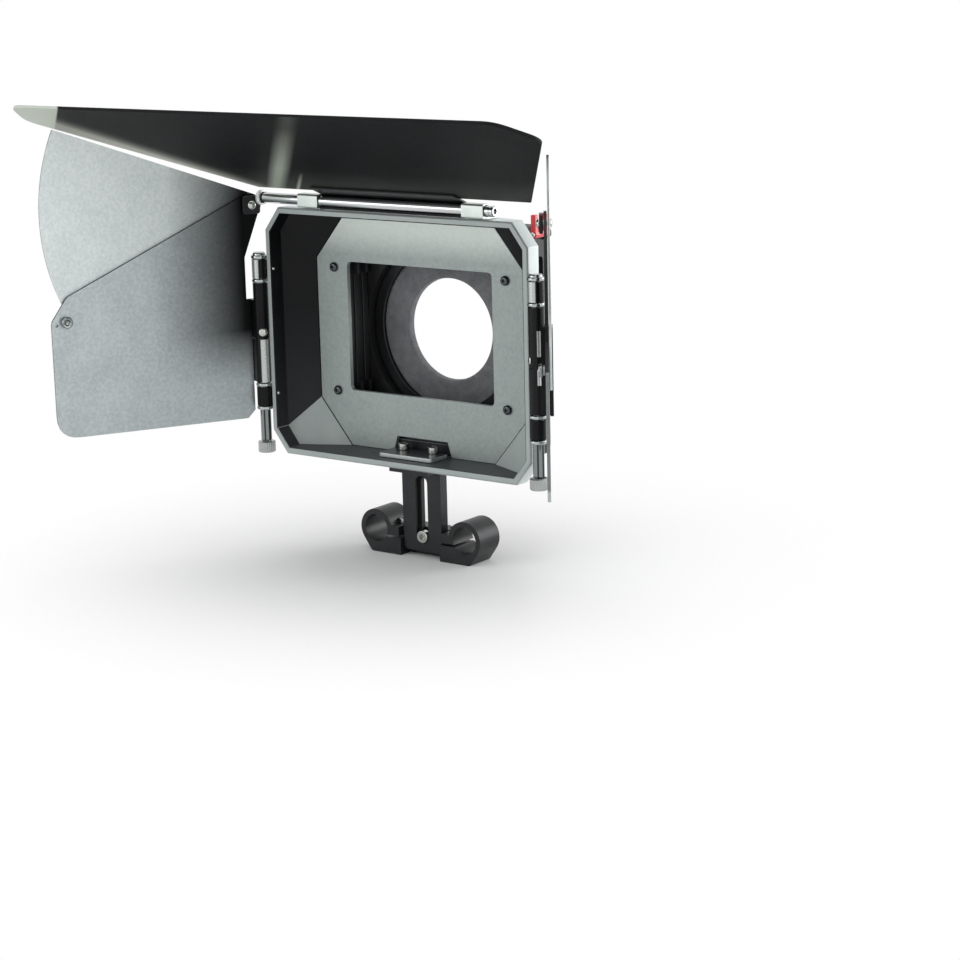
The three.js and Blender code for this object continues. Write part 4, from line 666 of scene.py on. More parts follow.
def streaked_rod():
    """Chrome with a painted reflection: duller below the lowest collar, with two dark stripes down it."""
    material, tree, where = new_material("chromed_rod_upright")
    facing = add(tree, "ShaderNodeTexCoord").outputs["Normal"]
    stretched = add(tree, "ShaderNodeMapping", {"Scale": (ACROSS, ACROSS, 1)}, {"Vector": where})
    rings = add(tree, "ShaderNodeTexNoise", {"Scale": 1 / HAIRLINE, "Detail": 1}, {"Vector": stretched})
    tones = {
        name: add(tree, "ShaderNodeValToRGB", {"stops": {DIP: low, PEAK: high}}, {"Fac": rings})
        for name, (low, high) in ROD_TONES.items()
    }
    lowest_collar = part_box("left_hinge_bracket_lower")[0].z - UNDER_COLLAR
    height = add(tree, "ShaderNodeSeparateXYZ", links={"Vector": where}).outputs["Z"]
    below = add(
        tree, "ShaderNodeMapRange",
        {"From Min": lowest_collar + 0.1 * MM, "From Max": lowest_collar - 0.1 * MM}, {"Value": height},
    )
    round_rod = add(tree, "ShaderNodeVectorMath", {"operation": "DOT_PRODUCT", 1: ROUND_ROD}, {0: facing})
    first, second = (stripe(tree, round_rod, start, end, 0.06) for start, end in ((-0.3, -0.02), (0.6, 0.9)))
    either = add(tree, "ShaderNodeMath", {"operation": "MAXIMUM"}, {0: first, 1: second})
    dark = add(tree, "ShaderNodeMath", {"operation": "MULTIPLY"}, {0: below, 1: either})
    chrome = add(tree, "ShaderNodeMix", {"data_type": "RGBA"}, {0: below, 6: tones["bright"], 7: tones["dim_below"]})
    chrome = add(tree, "ShaderNodeMix", {"data_type": "RGBA"}, {0: dark, 6: chrome, 7: tones["painted_dark_stripe"]})
    finish_material(
        tree, {"Metallic": 1.0}, {"Base Color": chrome},
        rough=(rings, 0.1, 0.16), relief=(rings, 0.0015 * MM),
    )
    return material


upright_chrome = streaked_rod()
print("hinge rod finish:", upright_chrome.name)

# %% [markdown]
# ## Foam
# The donut is open-cell polyurethane foam. Its cells are about 0.8 mm across and scatter light,
# so it looks matt and speckled.

# %% Foam
def open_cell_foam():
    material, tree, where = new_material("open_cell_foam")
    cells = add(tree, "ShaderNodeTexVoronoi", {"Scale": 1 / (0.8 * MM)}, {"Vector": where})
    clouds = add(tree, "ShaderNodeTexNoise", {"Scale": 1 / (5 * MM), "Detail": 4}, {"Vector": where})
    tone = add(tree, "ShaderNodeValToRGB", {"stops": {DIP: "#6f7174", PEAK: "#838588"}}, {"Fac": clouds})
    pores = add(tree, "ShaderNodeValToRGB", {"stops": {0.0: "#a8aaac", 0.5: "#ffffff"}}, {"Fac": cells})
    speckled = {"data_type": "RGBA", "blend_type": "MULTIPLY", 0: 0.6}
    colour = add(tree, "ShaderNodeMix", speckled, {6: tone, 7: pores})
    finish_material(
        tree, {"Roughness": 0.95, "Sheen Weight": 0.2}, {"Base Color": colour}, relief=(cells, 0.12 * MM),
    )
    return material


foam = open_cell_foam()
print("foam finish:", foam.name)

# %% [markdown]
# ## Red lacquer
# The lever has a glossy red lacquer over its metal, smooth but for a slight orange peel 1.5 mm
# wide, which gives its highlights a soft edge.

# %% Lacquer
def red_lacquer():
    material, tree, where = new_material("red_lacquer")
    peel = add(tree, "ShaderNodeTexNoise", {"Scale": 1 / (1.5 * MM), "Detail": 1}, {"Vector": where})
    colour = add(tree, "ShaderNodeValToRGB", {"stops": {DIP: "#d3292f", PEAK: "#dc3136"}}, {"Fac": peel})
    finish_material(
        tree, {"Roughness": 0.28, "Coat Weight": 0.4, "Coat Roughness": 0.1}, {"Base Color": colour},
        relief=(peel, 0.006 * MM),
    )
    return material


lacquer = red_lacquer()
print("lever finish:", lacquer.name)

# %% [markdown]
# ## Tools for finishing a piece
# Sharp edges never happen on real metal, and small bevels catch the light. A bevel runs round all
# edges that turn sharply, and weighted normals then keep the flat faces beside it flat. Each piece
# gets its material, and the body that the record gives to its node.

# %% Bevel and dress
BODY_OF = {
    node: body for body, members in frame["record"]["behaviour"]["bodies"].items() for node in members
}
SMOOTH_BELOW = 35  # degrees between two faces
FLAT_FACE_WEIGHT = 90  # percent


def pick(piece):
    """Leaves only this piece selected and active."""
    bpy.ops.object.select_all(action="DESELECT")
    piece.select_set(True)
    bpy.context.view_layer.objects.active = piece


def apply_all(piece):
    pick(piece)
    for modifier in list(piece.modifiers):
        bpy.ops.object.modifier_apply(modifier=modifier.name)


def smooth(piece):
    pick(piece)
    bpy.ops.object.shade_smooth_by_angle(angle=math.radians(SMOOTH_BELOW))


def bevel(piece, width, segments=3, degrees=SMOOTH_BELOW):
    """Rounds the edges that turn by more than this angle, and keeps flat faces flat beside them."""
    rounding = piece.modifiers.new("rounding", "BEVEL")
    rounding.width = width
    rounding.segments = segments
    rounding.limit_method = "ANGLE"
    rounding.angle_limit = math.radians(degrees)
    rounding.use_clamp_overlap = True
    apply_all(piece)
    smooth(piece)
    weighted = piece.modifiers.new("flat_faces_stay_flat", "WEIGHTED_NORMAL")
    weighted.keep_sharp = True
    weighted.weight = FLAT_FACE_WEIGHT
    apply_all(piece)


def dress(piece, material, node):
    """Gives a piece its material, and the body of the CAD node that it goes with."""
    piece.data.materials.clear()
    piece.data.materials.append(material)
    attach(piece, BODY_OF[node])
    return piece


print("bodies:", sorted(set(BODY_OF.values())))

# %% [markdown]
# ## Tools for copies
# A sheet or block whose shape is already right is copied from the frame. A CAD mesh is loose
# triangles, so the copy is merged and its flat faces are joined before its real edges are beveled.

# %% Copies of the frame's shapes
MERGE_WITHIN = 0.002 * MM
FLAT_WITHIN = math.radians(0.5)


def copied(node, name):
    """A copy of a node's mesh, merged, with its flat faces joined."""
    source = frame["nodes"][node]
    piece = bpy.data.objects.new(name, source.data.copy())
    bpy.context.scene.collection.objects.link(piece)
    pick(piece)
    bpy.ops.object.mode_set(mode="EDIT")
    bpy.ops.mesh.select_all(action="SELECT")
    bpy.ops.mesh.remove_doubles(threshold=MERGE_WITHIN)
    bpy.ops.mesh.dissolve_limited(angle_limit=FLAT_WITHIN)
    bpy.ops.object.mode_set(mode="OBJECT")
    return piece


def made_from(node, material, width, segments=3, degrees=SMOOTH_BELOW):
    """A copied node with rounded edges, which takes the node's place."""
    piece = copied(node, node + "_rounded")
    bevel(piece, width, segments, degrees)
    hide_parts(node)
    return dress(piece, material, node)


print("copies are merged within", MERGE_WITHIN / MM, "mm")

# %% [markdown]
# ## Hood, plate, stage and trays
# These pieces keep the frame's outlines. The moulded hood is rounded by 0.4 mm on top of the larger
# chamfers that it already has, also where two of its walls meet at a slight angle. The stage has
# moulded edges of 0.5 mm, and the sheets and trays are broken by 0.3 to 0.4 mm.

# %% Hood, plate, stage and trays
HOOD_ANGLE = 18  # degrees between two faces

hood = made_from("hood_shell", hood_coat, 0.4 * MM, degrees=HOOD_ANGLE)
made_from("mask_plate", mask_coat, 0.3 * MM)
made_from("filter_stage", stage_abs, 0.5 * MM)
for node in ("filter_tray_front", "filter_tray_rear"):
    made_from(node, tray_coat, 0.35 * MM)
made_from("tray_latch", lacquer, 0.4 * MM)
made_from("foot_plate", foot_coat, 0.35 * MM)
print("faces of the hood:", len(hood.data.polygons))

# %% [markdown]
# ## Post, brackets, leaves and sheets
# The post slides in the clamp below the hood. The brackets are screwed to the hood, and the leaves
# turn on the hinge rods and carry the flags. The leaves differ in their painted reflections and
# highlights, because each stands for another part of the room mirrored. The thinnest pieces get two
# steps in their bevels instead of three.

# %% Post, clamp, brackets, leaves and top flag
made_from("support_post", black_anodised, 0.4 * MM)
made_from("rod_clamp", black_anodised, 0.5 * MM)
made_from("top_leaf", black_anodised, 0.2 * MM, 2)
# Upper brackets: glossy black with a stripe of painted reflection.
for end in ("left", "right"):
    made_from(f"top_bracket_{end}", clear_anodised, 0.4 * MM)
    made_from(f"{end}_hinge_bracket_upper", barrel_reflection_ahead, 0.3 * MM)
    made_from(f"{end}_hinge_bracket_lower", gloss_black, 0.3 * MM)
# Leaves: glossy black, some with painted reflections and highlights.
made_from("left_leaf_upper", gloss_black, 0.3 * MM)
made_from("left_leaf_lower", leaf_reflection_inside, 0.3 * MM)
made_from("right_leaf_upper", leaf_highlight_slots, 0.3 * MM)
made_from("right_leaf_lower", leaf_highlight_slots, 0.3 * MM)
for end in ("left", "right"):
    made_from(f"{end}_fan_boss", black_anodised, 0.3 * MM)
    made_from(f"{end}_fan", fan_coat, 0.25 * MM, 2)
flag = made_from("top_flag", top_coat, 0.3 * MM, 2)
print("top flag is", round(flag.dimensions.x / MM), "mm wide")

# %% [markdown]
# ## Tools for the side flags
# The side flags stand open at 28 and 34.5 degrees. It is easier to place small things on a flag
# that points straight ahead, so they are made there, and then swung out about the hinge rod. Holes
# are cut with booleans, and the tool that cut them is thrown away.

# %% Swinging and cutting
SIDES = {"left": -1, "right": 1}
OPEN = {"left": math.radians(28), "right": math.radians(34.5)}
AXIS_HEIGHT = 108 * MM


def swung(piece, end):
    """Swings a piece out about the hinge rod, from where it would be with the flag straight ahead."""
    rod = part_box(f"{end}_hinge_rod")
    axis = (rod[0] + rod[1]) / 2
    out = Matrix.Rotation(SIDES[end] * OPEN[end], 4, "Z")
    piece.matrix_world = Matrix.Translation((axis.x, axis.y, AXIS_HEIGHT)) @ out
    pick(piece)
    bpy.ops.object.transform_apply(location=True, rotation=True, scale=True)
    return piece


def cut_out(piece, tool):
    """Takes the tool's shape out of the piece, and then removes the tool."""
    cut = piece.modifiers.new("cut", "BOOLEAN")
    cut.operation = "DIFFERENCE"
    cut.solver = "EXACT"
    cut.object = tool
    apply_all(piece)
    bpy.data.objects.remove(tool)


print("flags open by", {end: round(math.degrees(angle), 1) for end, angle in OPEN.items()})

# %% [markdown]
# ## The side flags
# Each side flag has a small blind hole near its front edge, beside the stud, and its lower corner
# at the hinge is cut off. A thin bar and a block turned by 45 degrees are put where these go, and
# taken out of the sheet.

# %% Side flags with their drilled holes
# Millimetres outwards, back and up from the hinge rod at the height of the box's axis.
HOLE_AT = (2.8, -114.3, 12)
HOLE_RADIUS = 0.9 * MM
CORNER_AT = (5.3, -4.2, -49.5)
CORNER_SIDE = 6.2 * MM

for end, sign in SIDES.items():
    node = f"{end}_flag"
    piece = copied(node, node + "_drilled")
    bpy.ops.object.select_all(action="DESELECT")
    bpy.ops.mesh.primitive_cylinder_add(
        vertices=24, radius=HOLE_RADIUS, depth=6 * MM,
        location=Vector((HOLE_AT[0] * sign, *HOLE_AT[1:])) * MM, rotation=(0, math.pi / 2, 0),
    )
    bar = bpy.context.active_object
    bpy.ops.object.transform_apply(location=True, rotation=True, scale=True)
    cut_out(piece, swung(bar, end))
    bpy.ops.object.select_all(action="DESELECT")
    bpy.ops.mesh.primitive_cube_add(
        size=CORNER_SIDE, location=Vector((CORNER_AT[0] * sign, *CORNER_AT[1:])) * MM,
        rotation=(math.pi / 4, 0, 0),
    )
    block = bpy.context.active_object
    bpy.ops.object.transform_apply(location=True, rotation=True, scale=True)
    cut_out(piece, swung(block, end))
    bevel(piece, 0.25 * MM, 2)
    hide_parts(node)
    dress(piece, flag_coat, node)
    print(piece.name, "faces:", len(piece.data.polygons))

# %% [markdown]
# ## Turned pieces
# Rods, rings, knobs and screw heads are turned on a lathe. Here a circle is added at the first
# radius of the profile, and its edge is extruded and scaled along the axis from one step to the
# next, as a lathe tool would follow the profile. The ends are filled. A closed profile comes back
# to its start and makes a ring.

# %% The lathe
AXES = {"X": Vector((1, 0, 0)), "Y": Vector((0, 1, 0)), "Z": Vector((0, 0, 1))}
TURNS = {"X": (0, math.pi / 2, 0), "Y": (math.pi / 2, 0, 0), "Z": (0, 0, 0)}


def scaled_about(axis, scale, centre):
    """Scales what is selected across an axis, about a point on it."""
    across = tuple(1 if AXES[axis][i] else scale for i in range(3))
    bpy.ops.transform.resize(value=across, center_override=centre)


def turned(name, axis, centre, profile, sides=64, closed=False):
    """A solid of [radius, place along the axis] steps in metres. A closed profile makes a ring."""
    along = AXES[axis]
    base = Vector(centre)
    radius, place = profile[0]
    bpy.ops.object.select_all(action="DESELECT")
    bpy.ops.mesh.primitive_circle_add(
        vertices=sides, radius=radius, fill_type="NOTHING" if closed else "NGON",
        location=base + along * place, rotation=TURNS[axis],
    )
    piece = bpy.context.active_object
    piece.name = name
    bpy.ops.object.transform_apply(location=True, rotation=True, scale=True)
    bpy.ops.object.mode_set(mode="EDIT")
    bpy.ops.mesh.select_mode(type="EDGE")
    bpy.ops.mesh.select_all(action="SELECT")
    steps_left = profile[1:] + ([profile[0]] if closed else [])
    for next_radius, next_place in steps_left:
        bpy.ops.mesh.extrude_edges_move(
            TRANSFORM_OT_translate={"value": along * (next_place - place)},
        )
        scaled_about(axis, next_radius / radius, base + along * next_place)
        radius, place = next_radius, next_place
    if not closed:
        bpy.ops.mesh.edge_face_add()
    bpy.ops.mesh.select_all(action="SELECT")
    bpy.ops.mesh.remove_doubles(threshold=MERGE_WITHIN)
    bpy.ops.mesh.normals_make_consistent(inside=False)
    bpy.ops.object.mode_set(mode="OBJECT")
    return piece


print("the lathe turns about", list(AXES))

# %% [markdown]
# ## Tools for placing
# A modelled piece takes its place from the box of the node that it replaces. Profiles are written
# in millimetres, as on a drawing. A hexagon socket is a six-sided prism, cut out with a boolean,
# which gives the socket its flat sides.

# %% Corners, profiles and sockets
def low(node):
    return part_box(node)[0]


def high(node):
    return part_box(node)[1]


def middle(node):
    return (low(node) + high(node)) / 2


def steps(*pairs):
    """A profile in metres from [radius, place] pairs in millimetres."""
    return [(radius * MM, place * MM) for radius, place in pairs]


def replace(piece, material, node, rounding=0.0, segments=2):
    """Finishes a modelled piece that takes a node's place."""
    if rounding:
        bevel(piece, rounding, segments)
    else:
        smooth(piece)
    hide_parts(node)
    return dress(piece, material, node)


def hex_socket(piece, axis, mouth, radius, depth):
    """Cuts a six-sided socket into a piece, depth metres either side of the point mouth."""
    bpy.ops.object.select_all(action="DESELECT")
    bpy.ops.mesh.primitive_cylinder_add(
        vertices=6, radius=radius, depth=2 * depth, location=mouth, rotation=TURNS[axis],
    )
    prism = bpy.context.active_object
    bpy.ops.object.transform_apply(location=True, rotation=True, scale=True)
    cut_out(piece, prism)


print("hood is", round((high("hood_shell") - low("hood_shell")).x / MM, 1), "mm wide")

# %% [markdown]
# ## The top rod
# The top rod carries the top flag. It is a ground steel bar with a chrome layer, with a groove near
# its right end, where a clip would sit, and a hexagon socket in that end. A thin black washer lies
# beside the knob at its left end.

# %% Top rod and washer
ROD = 2.9
WASHER = 3.2
ROD_SIDES = 72

rod_left, rod_right = low("top_rod").x / MM, high("top_rod").x / MM
rod_axis = middle("top_rod")
rod_line = Vector((0, rod_axis.y, rod_axis.z))
rod = turned("top_rod_bar", "X", rod_line, steps(
    (ROD - 0.5, rod_left), (ROD, rod_left + 0.5), (ROD, rod_right - 2.6), (ROD - 0.3, rod_right - 2.4),
    (ROD - 0.3, rod_right - 1.9), (ROD, rod_right - 1.7), (ROD, rod_right - 0.6), (ROD - 0.6, rod_right),
), ROD_SIDES)
hex_socket(rod, "X", rod_line + Vector((rod_right * MM, 0, 0)), 1.7 * MM, 3 * MM)
replace(rod, level_chrome, "top_rod", rounding=0.1 * MM)
washer = turned("top_rod_washer", "X", rod_line, steps(
    (ROD + 0.05, rod_left + 0.1), (WASHER, rod_left + 0.1),
    (WASHER, rod_left + 0.9), (ROD + 0.05, rod_left + 0.9),
), 48, closed=True)
bevel(washer, 0.08 * MM, 2)
dress(washer, gloss_black, "top_rod")
print("top rod:", round(rod_right - rod_left, 1), "mm long")

# %% [markdown]
# ## The hinge rods
# One hinge rod on each side carries a side flag. Four collars keep the brackets and leaves apart,
# and a cap closes the top. Each rod is one turned profile, because on the real hinge the collars
# are fixed to the rod. A collar sits just above and just below each bracket.

# %% Hinge rods
HINGE = 3.0
COLLAR = 4.5
CAP = 3.6
COLLAR_TALL = 2.0
COLLAR_EDGE = 0.4
ABOVE_BRACKET = 0.3
BELOW_BRACKET = 2.3

for end in ("left", "right"):
    node = f"{end}_hinge_rod"
    bottom, top = low(node).z / MM, high(node).z / MM
    centre = Vector((middle(node).x, middle(node).y, 0))
    collars = sorted(
        foot for level in ("lower", "upper") for foot in (
            low(f"{end}_hinge_bracket_{level}").z / MM - BELOW_BRACKET,
            high(f"{end}_hinge_bracket_{level}").z / MM + ABOVE_BRACKET,
        )
    )
    profile = [(HINGE - 0.6, bottom), (HINGE, bottom + 0.6)]
    for foot in collars:
        crown = foot + COLLAR_TALL
        profile += [
            (HINGE, foot), (COLLAR - COLLAR_EDGE, foot), (COLLAR, foot + COLLAR_EDGE),
            (COLLAR, crown - COLLAR_EDGE), (COLLAR - COLLAR_EDGE, crown),
            (CAP if foot == collars[-1] else HINGE, crown),
        ]
    profile += [(CAP, top - 0.9), (CAP - 0.3, top - 0.4), (CAP - 1.0, top)]
    piece = turned(f"{end}_hinge_bar", "Z", centre, steps(*profile))
    replace(piece, upright_chrome, node, rounding=0.1 * MM)
    print(piece.name, "collars at", [round(foot, 1) for foot in collars])

# %% [markdown]
# ## Knobs
# The three knobs have straight flutes for the fingers. A circle is added, every other pair of its
# points is pulled inwards to make the flutes, and the outline is extruded. Each end is then drawn
# in to a chamfer, a flat land and a shallow recess, by extruding and scaling its face.

# %% Fluted knobs
FLUTES = 24
FLUTE_SCALE = 0.95
RIM = 0.5 * MM
END_STEPS = ((0.9, RIM), (0.6, 0.0), (0.93, -0.3 * MM))


def knob(name, axis, centre, radius, start, end):
    along = AXES[axis]
    base = Vector(centre)
    bpy.ops.object.select_all(action="DESELECT")
    bpy.ops.mesh.primitive_circle_add(
        vertices=4 * FLUTES, radius=radius, fill_type="NGON",
        location=base + along * (start + RIM), rotation=TURNS[axis],
    )
    piece = bpy.context.active_object
    piece.name = name
    bpy.ops.object.transform_apply(location=True, rotation=True, scale=True)
    bpy.ops.object.mode_set(mode="EDIT")
    bpy.ops.mesh.select_mode(type="VERT")
    bpy.ops.mesh.select_all(action="DESELECT")
    shape = bmesh.from_edit_mesh(piece.data)
    for number, point in enumerate(shape.verts):
        point.select = number % 4 in (0, 1)
    shape.select_flush(True)
    scaled_about(axis, FLUTE_SCALE, base + along * (start + RIM))
    bpy.ops.mesh.select_mode(type="FACE")
    bpy.ops.mesh.select_all(action="SELECT")
    bpy.ops.mesh.extrude_region_move(
        TRANSFORM_OT_translate={"value": along * (end - start - 2 * RIM)},
    )
    bpy.ops.mesh.select_all(action="SELECT")
    bpy.ops.mesh.normals_make_consistent(inside=False)
    for sign, edge in ((-1, start), (1, end)):
        bpy.ops.mesh.select_all(action="DESELECT")
        shape = bmesh.from_edit_mesh(piece.data)
        for face in shape.faces:
            face.select = face.normal.dot(along) * sign > 0.9
        bmesh.update_edit_mesh(piece.data)
        for scale, rise in END_STEPS:
            bpy.ops.mesh.extrude_region_move(TRANSFORM_OT_translate={"value": along * sign * rise})
            scaled_about(axis, scale, base + along * edge)
    bpy.ops.object.mode_set(mode="OBJECT")
    return piece


top_knob = knob(
    "top_rod_grip", "X", rod_line, 4.2 * MM, low("top_rod_knob").x, high("top_rod_knob").x,
)
replace(top_knob, pale_knob, "top_rod_knob")
for end in ("left", "right"):
    node = f"{end}_hinge_knob"
    centre = Vector((middle(node).x, middle(node).y, 0))
    piece = knob(f"{end}_hinge_grip", "Z", centre, 4.8 * MM, low(node).z, high(node).z)
    replace(piece, steel_knob, node)
print("flutes on each knob:", FLUTES)

# %% [markdown]
# ## Screws
# All screws have a hexagon socket. The head and shank are turned as one. Cap screws have a straight
# head with a chamfer, and button screws a low dome. The mask plate has four button screws, and the
# foot, the clamp and the post are held by cap screws.

# %% Socket screws
SCREW_SIDES = 48


def socket_screw(name, axis, sign, seat, head, rise, shank, length, socket, dome=False):
    """A screw whose head stands from the point seat in the direction sign along the axis.

    head, shank and socket are radii, rise is the head's height and length the shank's.
    """
    along = AXES[axis] * sign
    if dome:
        top = [(head, 0.25 * rise), (0.93 * head, 0.6 * rise), (0.74 * head, 0.88 * rise), (0.5 * head, rise)]
    else:
        top = [(head, rise - 0.12 * head), (head - 0.12 * head, rise)]
    profile = [(shank, -length * sign), (shank, 0), (head, 0)]
    profile += [(radius, place * sign) for radius, place in top]
    piece = turned(name, axis, seat, profile, SCREW_SIDES)
    hex_socket(piece, axis, seat + along * rise, socket, 0.6 * rise)
    return piece


for number in range(1, 5):
    node = f"mask_screw_{number}"
    seat = Vector((middle(node).x, low(node).y + 1.6 * MM, middle(node).z))
    screw = socket_screw(
        f"{node}_button", "Y", -1, seat, head=2.6 * MM, rise=1.6 * MM,
        shank=1.5 * MM, length=6.5 * MM, socket=1.1 * MM, dome=True,
    )
    replace(screw, dark_steel, node, rounding=0.06 * MM)
for end in ("left", "right"):
    node = f"foot_screw_{end}"
    seat = Vector((middle(node).x, middle(node).y, high(node).z - 3.4 * MM))
    screw = socket_screw(
        f"{node}_cap", "Z", 1, seat, head=3.0 * MM, rise=3.4 * MM,
        shank=2.0 * MM, length=10 * MM, socket=1.5 * MM,
    )
    replace(screw, bright_steel, node, rounding=0.08 * MM)
    node = f"rod_clamp_screw_{end}"
    seat = Vector((middle(node).x, middle(node).y, high(node).z - 2.8 * MM))
    screw = socket_screw(
        f"{node}_cap", "Z", 1, seat, head=2.7 * MM, rise=2.8 * MM,
        shank=1.6 * MM, length=10 * MM, socket=1.25 * MM,
    )
    replace(screw, bright_steel, node, rounding=0.08 * MM)
seat = Vector((middle("height_bolt").x, low("height_bolt").y + 3.6 * MM, middle("height_bolt").z))
screw = socket_screw(
    "height_bolt_cap", "Y", -1, seat, head=3.5 * MM, rise=3.6 * MM,
    shank=2.0 * MM, length=11 * MM, socket=1.7 * MM,
)
replace(screw, bright_steel, "height_bolt", rounding=0.1 * MM)
print("height bolt faces:", len(screw.data.polygons))

# %% [markdown]
# ## Profiles of the fan pins and studs
# The fan pins and the studs lie square to the side flags. Each is turned where it would be with the
# flag straight ahead, and is swung out with it. The pins have domed heads that catch a point of
# light, and the stud has a dimple left by the tool that pressed it.

# %% Profiles of the fan pins and studs
DOME_STEPS = 5
# Places are from the hinge rod, as for the drilled hole, and profiles are radius and place outwards.
PIVOT_AT = (0, -2.2, 68.6)
STUD_AT = (0, -109, 13.5)
STUD = [
    (0.2, 2.3), (1.1, 2.1), (1.8, 1.3), (2.6, 1.2), (3.0, 1.6),
    (3.1, 2.0), (3.1, 2.7), (2.35, 3.4), (2.35, 4.2), (0.2, 4.2),
]


def dome(radius, seat, crown):
    """Steps of a round head from its rim at seat to its crown."""
    turns = [math.pi / 2 * number / DOME_STEPS for number in range(DOME_STEPS)]
    round_part = [(radius * math.cos(turn), seat + (crown - seat) * math.sin(turn)) for turn in turns]
    return round_part + [(0.15 * radius, crown)]


def on_flag(name, end, place, profile, node, material):
    """A turned piece that lies square to a side flag, with places counted outwards from the rod."""
    mirrored = [(radius, SIDES[end] * across) for radius, across in profile]
    piece = turned(name, "X", Vector(place) * MM, steps(*mirrored), 40)
    swung(piece, end)
    return replace(piece, material, node)


PIN = dome(2.5, 1.9, 0.4)[::-1] + [(1.5, 1.9), (1.5, 7.9)] + dome(2.5, 7.9, 8.9)
print("steps in the profiles of pin and stud:", len(PIN), len(STUD))

# %% [markdown]
# ## Small pieces of the flags
# A small domed screw is let into each upper leaf and points away from the rod. It is turned upright
# and then laid along the line from the rod to its place. Each side gets its pin, its stud and its
# leaf screw.

# %% Fan pins, studs and leaf screws
for end in ("left", "right"):
    on_flag(f"{end}_fan_rivet", end, PIVOT_AT, PIN, f"{end}_fan_pin", bright_steel)
    on_flag(f"{end}_pressed_stud", end, STUD_AT, STUD, f"{end}_flag_stud", grey_steel)

    node = f"{end}_leaf_screw"
    rod_centre = middle(f"{end}_hinge_rod")
    spot = middle(node)
    outward = Vector((spot.x - rod_centre.x, spot.y - rod_centre.y, 0)).normalized()
    screw = turned(f"{node}_dome", "Z", (0, 0, 0), steps((1.2, 3.4), (1.2, 3.9), *dome(2.4, 3.9, 4.7)), 40)
    laid = outward.to_track_quat("Z", "Y").to_matrix().to_4x4()
    screw.matrix_world = Matrix.Translation((rod_centre.x, rod_centre.y, spot.z)) @ laid
    pick(screw)
    bpy.ops.object.transform_apply(location=True, rotation=True, scale=True)
    replace(screw, bright_steel, node)
    print(screw.name, "points", [round(part, 2) for part in outward])

# %% [markdown]
# ## Latch pin and bracket screws
# The red lever turns on a pin with a flat head. The four hinge brackets are held by screws whose
# rounded tips show as bright points on the inside of the hood's side walls.

# %% Latch pin and screw tips
node = "tray_latch_pin"
front, back = low(node).y / MM, high(node).y / MM
pin = turned("latch_rivet", "Y", Vector((middle(node).x, 0, middle(node).z)), steps(
    (0.2, front), (1.1, front), (1.4, front + 0.3), (1.4, front + 0.9),
    (0.9, front + 0.9), (0.9, back), (0.2, back),
), 32)
replace(pin, bright_steel, node)

# Millimetres: how far out the wall is, and how far back and how high each tip is.
INNER_WALL = 83.5
TIP_PLACES = {"upper": (-24.5, 142.3), "lower": (-24.5, 73.2)}
for end, sign in SIDES.items():
    for level, (depth, height) in TIP_PLACES.items():
        place = Vector((sign * INNER_WALL, depth, height)) * MM
        tip = turned(f"{end}_{level}_screw_tip", "X", place, steps(
            (1.15, 1.2 * sign), (1.15, -0.2 * sign), (0.9, -0.6 * sign), (0.4, -0.85 * sign),
        ), 24)
        smooth(tip)
        dress(tip, bright_steel, "hood_shell")
print("screw tips:", len(SIDES) * len(TIP_PLACES))

# %% [markdown]
# ## Rear collar and ring
# The collar at the back of the stage has a flange at its front and a shallow groove round it, and a
# thin ring with a chamfered mouth keeps the foam in it. Both are closed profiles, so each is one
# ring with no end faces.

# %% Collar and ring
RING_SIDES = 128

collar_middle = Vector((0, 0, middle("rear_collar").z))
front, back = low("rear_collar").y / MM, high("rear_collar").y / MM
collar = turned("rear_collar_ring", "Y", collar_middle, steps(
    (49.9, front), (60.5, front), (60.5, front + 2.5), (57, front + 2.5), (57, back - 3.6),
    (56.4, back - 3.3), (56.4, back - 2.7), (57, back - 2.4), (57, back - 0.8), (56.2, back),
    (45, back), (45, back - 1.6), (49.9, back - 1.6),
), RING_SIDES, closed=True)
replace(collar, black_anodised, "rear_collar", rounding=0.2 * MM)

front, back = low("donut_ring").y / MM, high("donut_ring").y / MM
ring = turned("donut_keeper", "Y", collar_middle, steps(
    (43.6, front + 0.5), (44.1, front), (49.6, front), (49.6, back), (43.6, back),
), RING_SIDES, closed=True)
replace(ring, black_anodised, "donut_ring", rounding=0.12 * MM)
print("collar's middle at height", round(collar_middle.z / MM, 1))

# %% [markdown]
# ## Foam donut
# The donut is a soft flat ring of foam that lets no light in from behind. The corners of its inner
# lip are cut off, and a bevel rounds all its edges. The foam fills its groove.

# %% Donut
front, back = low("donut_foam").y / MM, high("donut_foam").y / MM
donut = turned("foam_donut", "Y", collar_middle, steps(
    (29.6, front + 0.1), (36, front), (49.5, front + 0.05), (49.5, back), (29.6, back),
    (28.5, back - 0.5), (28, back - 1.6), (28, front + 1.6), (28.5, front + 0.5),
), 160, closed=True)
replace(donut, foam, "donut_foam", rounding=0.25 * MM, segments=3)
print("donut is", round(back - front, 1), "mm thick")

# %% [markdown]
# ## Floor
# The floor is a plain white sheet. Near the object it takes light and shadow as paper does. Further
# away it passes into plain white, so that the background has one tone. Only the camera and mirror
# rays see that, so it throws no light on the object.

# %% Floor
FLOOR_SIDE = 30
FADE_START, FADE_END = 0.06, 0.25


def seen_directly(tree):
    """1 for camera, mirror and glass rays, and 0 for the light that falls on things."""
    ray = add(tree, "ShaderNodeLightPath").outputs
    direct = ray["Is Camera Ray"]
    for other in ("Is Glossy Ray", "Is Transmission Ray"):
        direct = add(tree, "ShaderNodeMath", {"operation": "MAXIMUM"}, {0: direct, 1: ray[other]})
    return direct


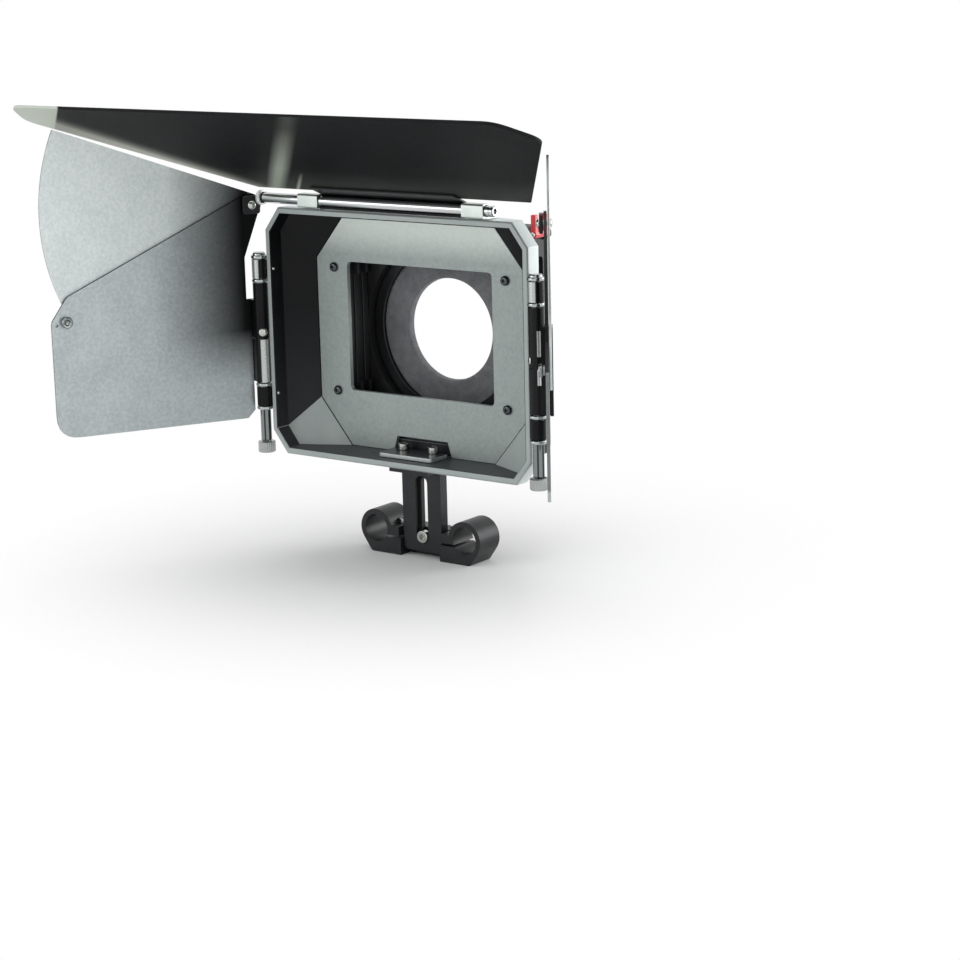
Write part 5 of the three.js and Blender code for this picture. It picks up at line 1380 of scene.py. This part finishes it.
bpy.ops.object.select_all(action="DESELECT")
bpy.ops.mesh.primitive_plane_add(size=FLOOR_SIDE, location=(0, 0, low("rod_clamp").z))
floor = bpy.context.active_object
floor.name = "floor"
material, tree, where = new_material("white_floor")
distance = add(tree, "ShaderNodeVectorMath", {"operation": "LENGTH"}, {0: where})
away = add(tree, "ShaderNodeMapRange", {"From Min": FADE_START, "From Max": FADE_END}, {"Value": distance})
far = add(tree, "ShaderNodeMath", {"operation": "MULTIPLY"}, {0: away, 1: seen_directly(tree)})
paper = add(tree, "ShaderNodeBsdfDiffuse", {"Color": linear("#f6f6f6")})
white = add(tree, "ShaderNodeEmission", {"Color": linear("#ffffff"), "Strength": 1.0})
both = add(tree, "ShaderNodeMixShader", {}, {0: far, 1: paper, 2: white})
add(tree, "ShaderNodeOutputMaterial", links={"Surface": both})
floor.data.materials.append(material)
print("floor at height", round(floor.location.z / MM, 1))

# %% [markdown]
# ## Lamps
# The studio has a pale world and a few broad lamps: at the front left, at the right and behind on
# the right, which the satin sheets and the rods mirror, and one above.

# %% Lamps
def lamp(name, place, aim, width, height, radiance):
    """A broad lamp whose face has this radiance, where 1 is white."""
    bpy.ops.object.select_all(action="DESELECT")
    bpy.ops.object.light_add(type="AREA", location=place)
    made = bpy.context.active_object
    made.name = name
    made.rotation_euler = (Vector(aim) - Vector(place)).to_track_quat("-Z", "Y").to_euler()
    made.data.shape = "RECTANGLE"
    made.data.size = width
    made.data.size_y = height
    made.data.energy = radiance * math.pi * width * height
    made.visible_camera = False
    print(name, "gives", round(made.data.energy, 2), "W")
    return made


HOOD = (0, 0, 0.1)
lamp("softbox_front_left", (-0.75, -1.25, 0.45), HOOD, width=0.8, height=1.0, radiance=1.6)
lamp("softbox_right", (1.3, -0.25, 0.45), (0, -0.05, 0.1), width=0.8, height=1.0, radiance=1.6)
lamp("softbox_back_right", (0.9, 1.2, 0.35), HOOD, width=0.7, height=0.9, radiance=4.5)
lamp("softbox_top", (0.1, -0.3, 1.7), HOOD, width=1.2, height=1.2, radiance=1.4)

# %% [markdown]
# ## World
# The world is white where it is seen or mirrored, so that the background is plain, and a little
# dimmer as a light, so that pale sheets don't clip.

# %% World
DIM, FULL = 0.7, 1.0

world = bpy.data.worlds.new("studio")
bpy.context.scene.world = world
world.use_nodes = True
tree = world.node_tree
tree.nodes.clear()
strength = add(
    tree, "ShaderNodeMapRange",
    {"From Min": 0.0, "From Max": 1.0, "To Min": DIM, "To Max": FULL}, {"Value": seen_directly(tree)},
)
sky = add(tree, "ShaderNodeBackground", {"Color": linear("#ffffff")}, {"Strength": strength})
add(tree, "ShaderNodeOutputWorld", links={"Surface": sky})
print("world:", world.name)
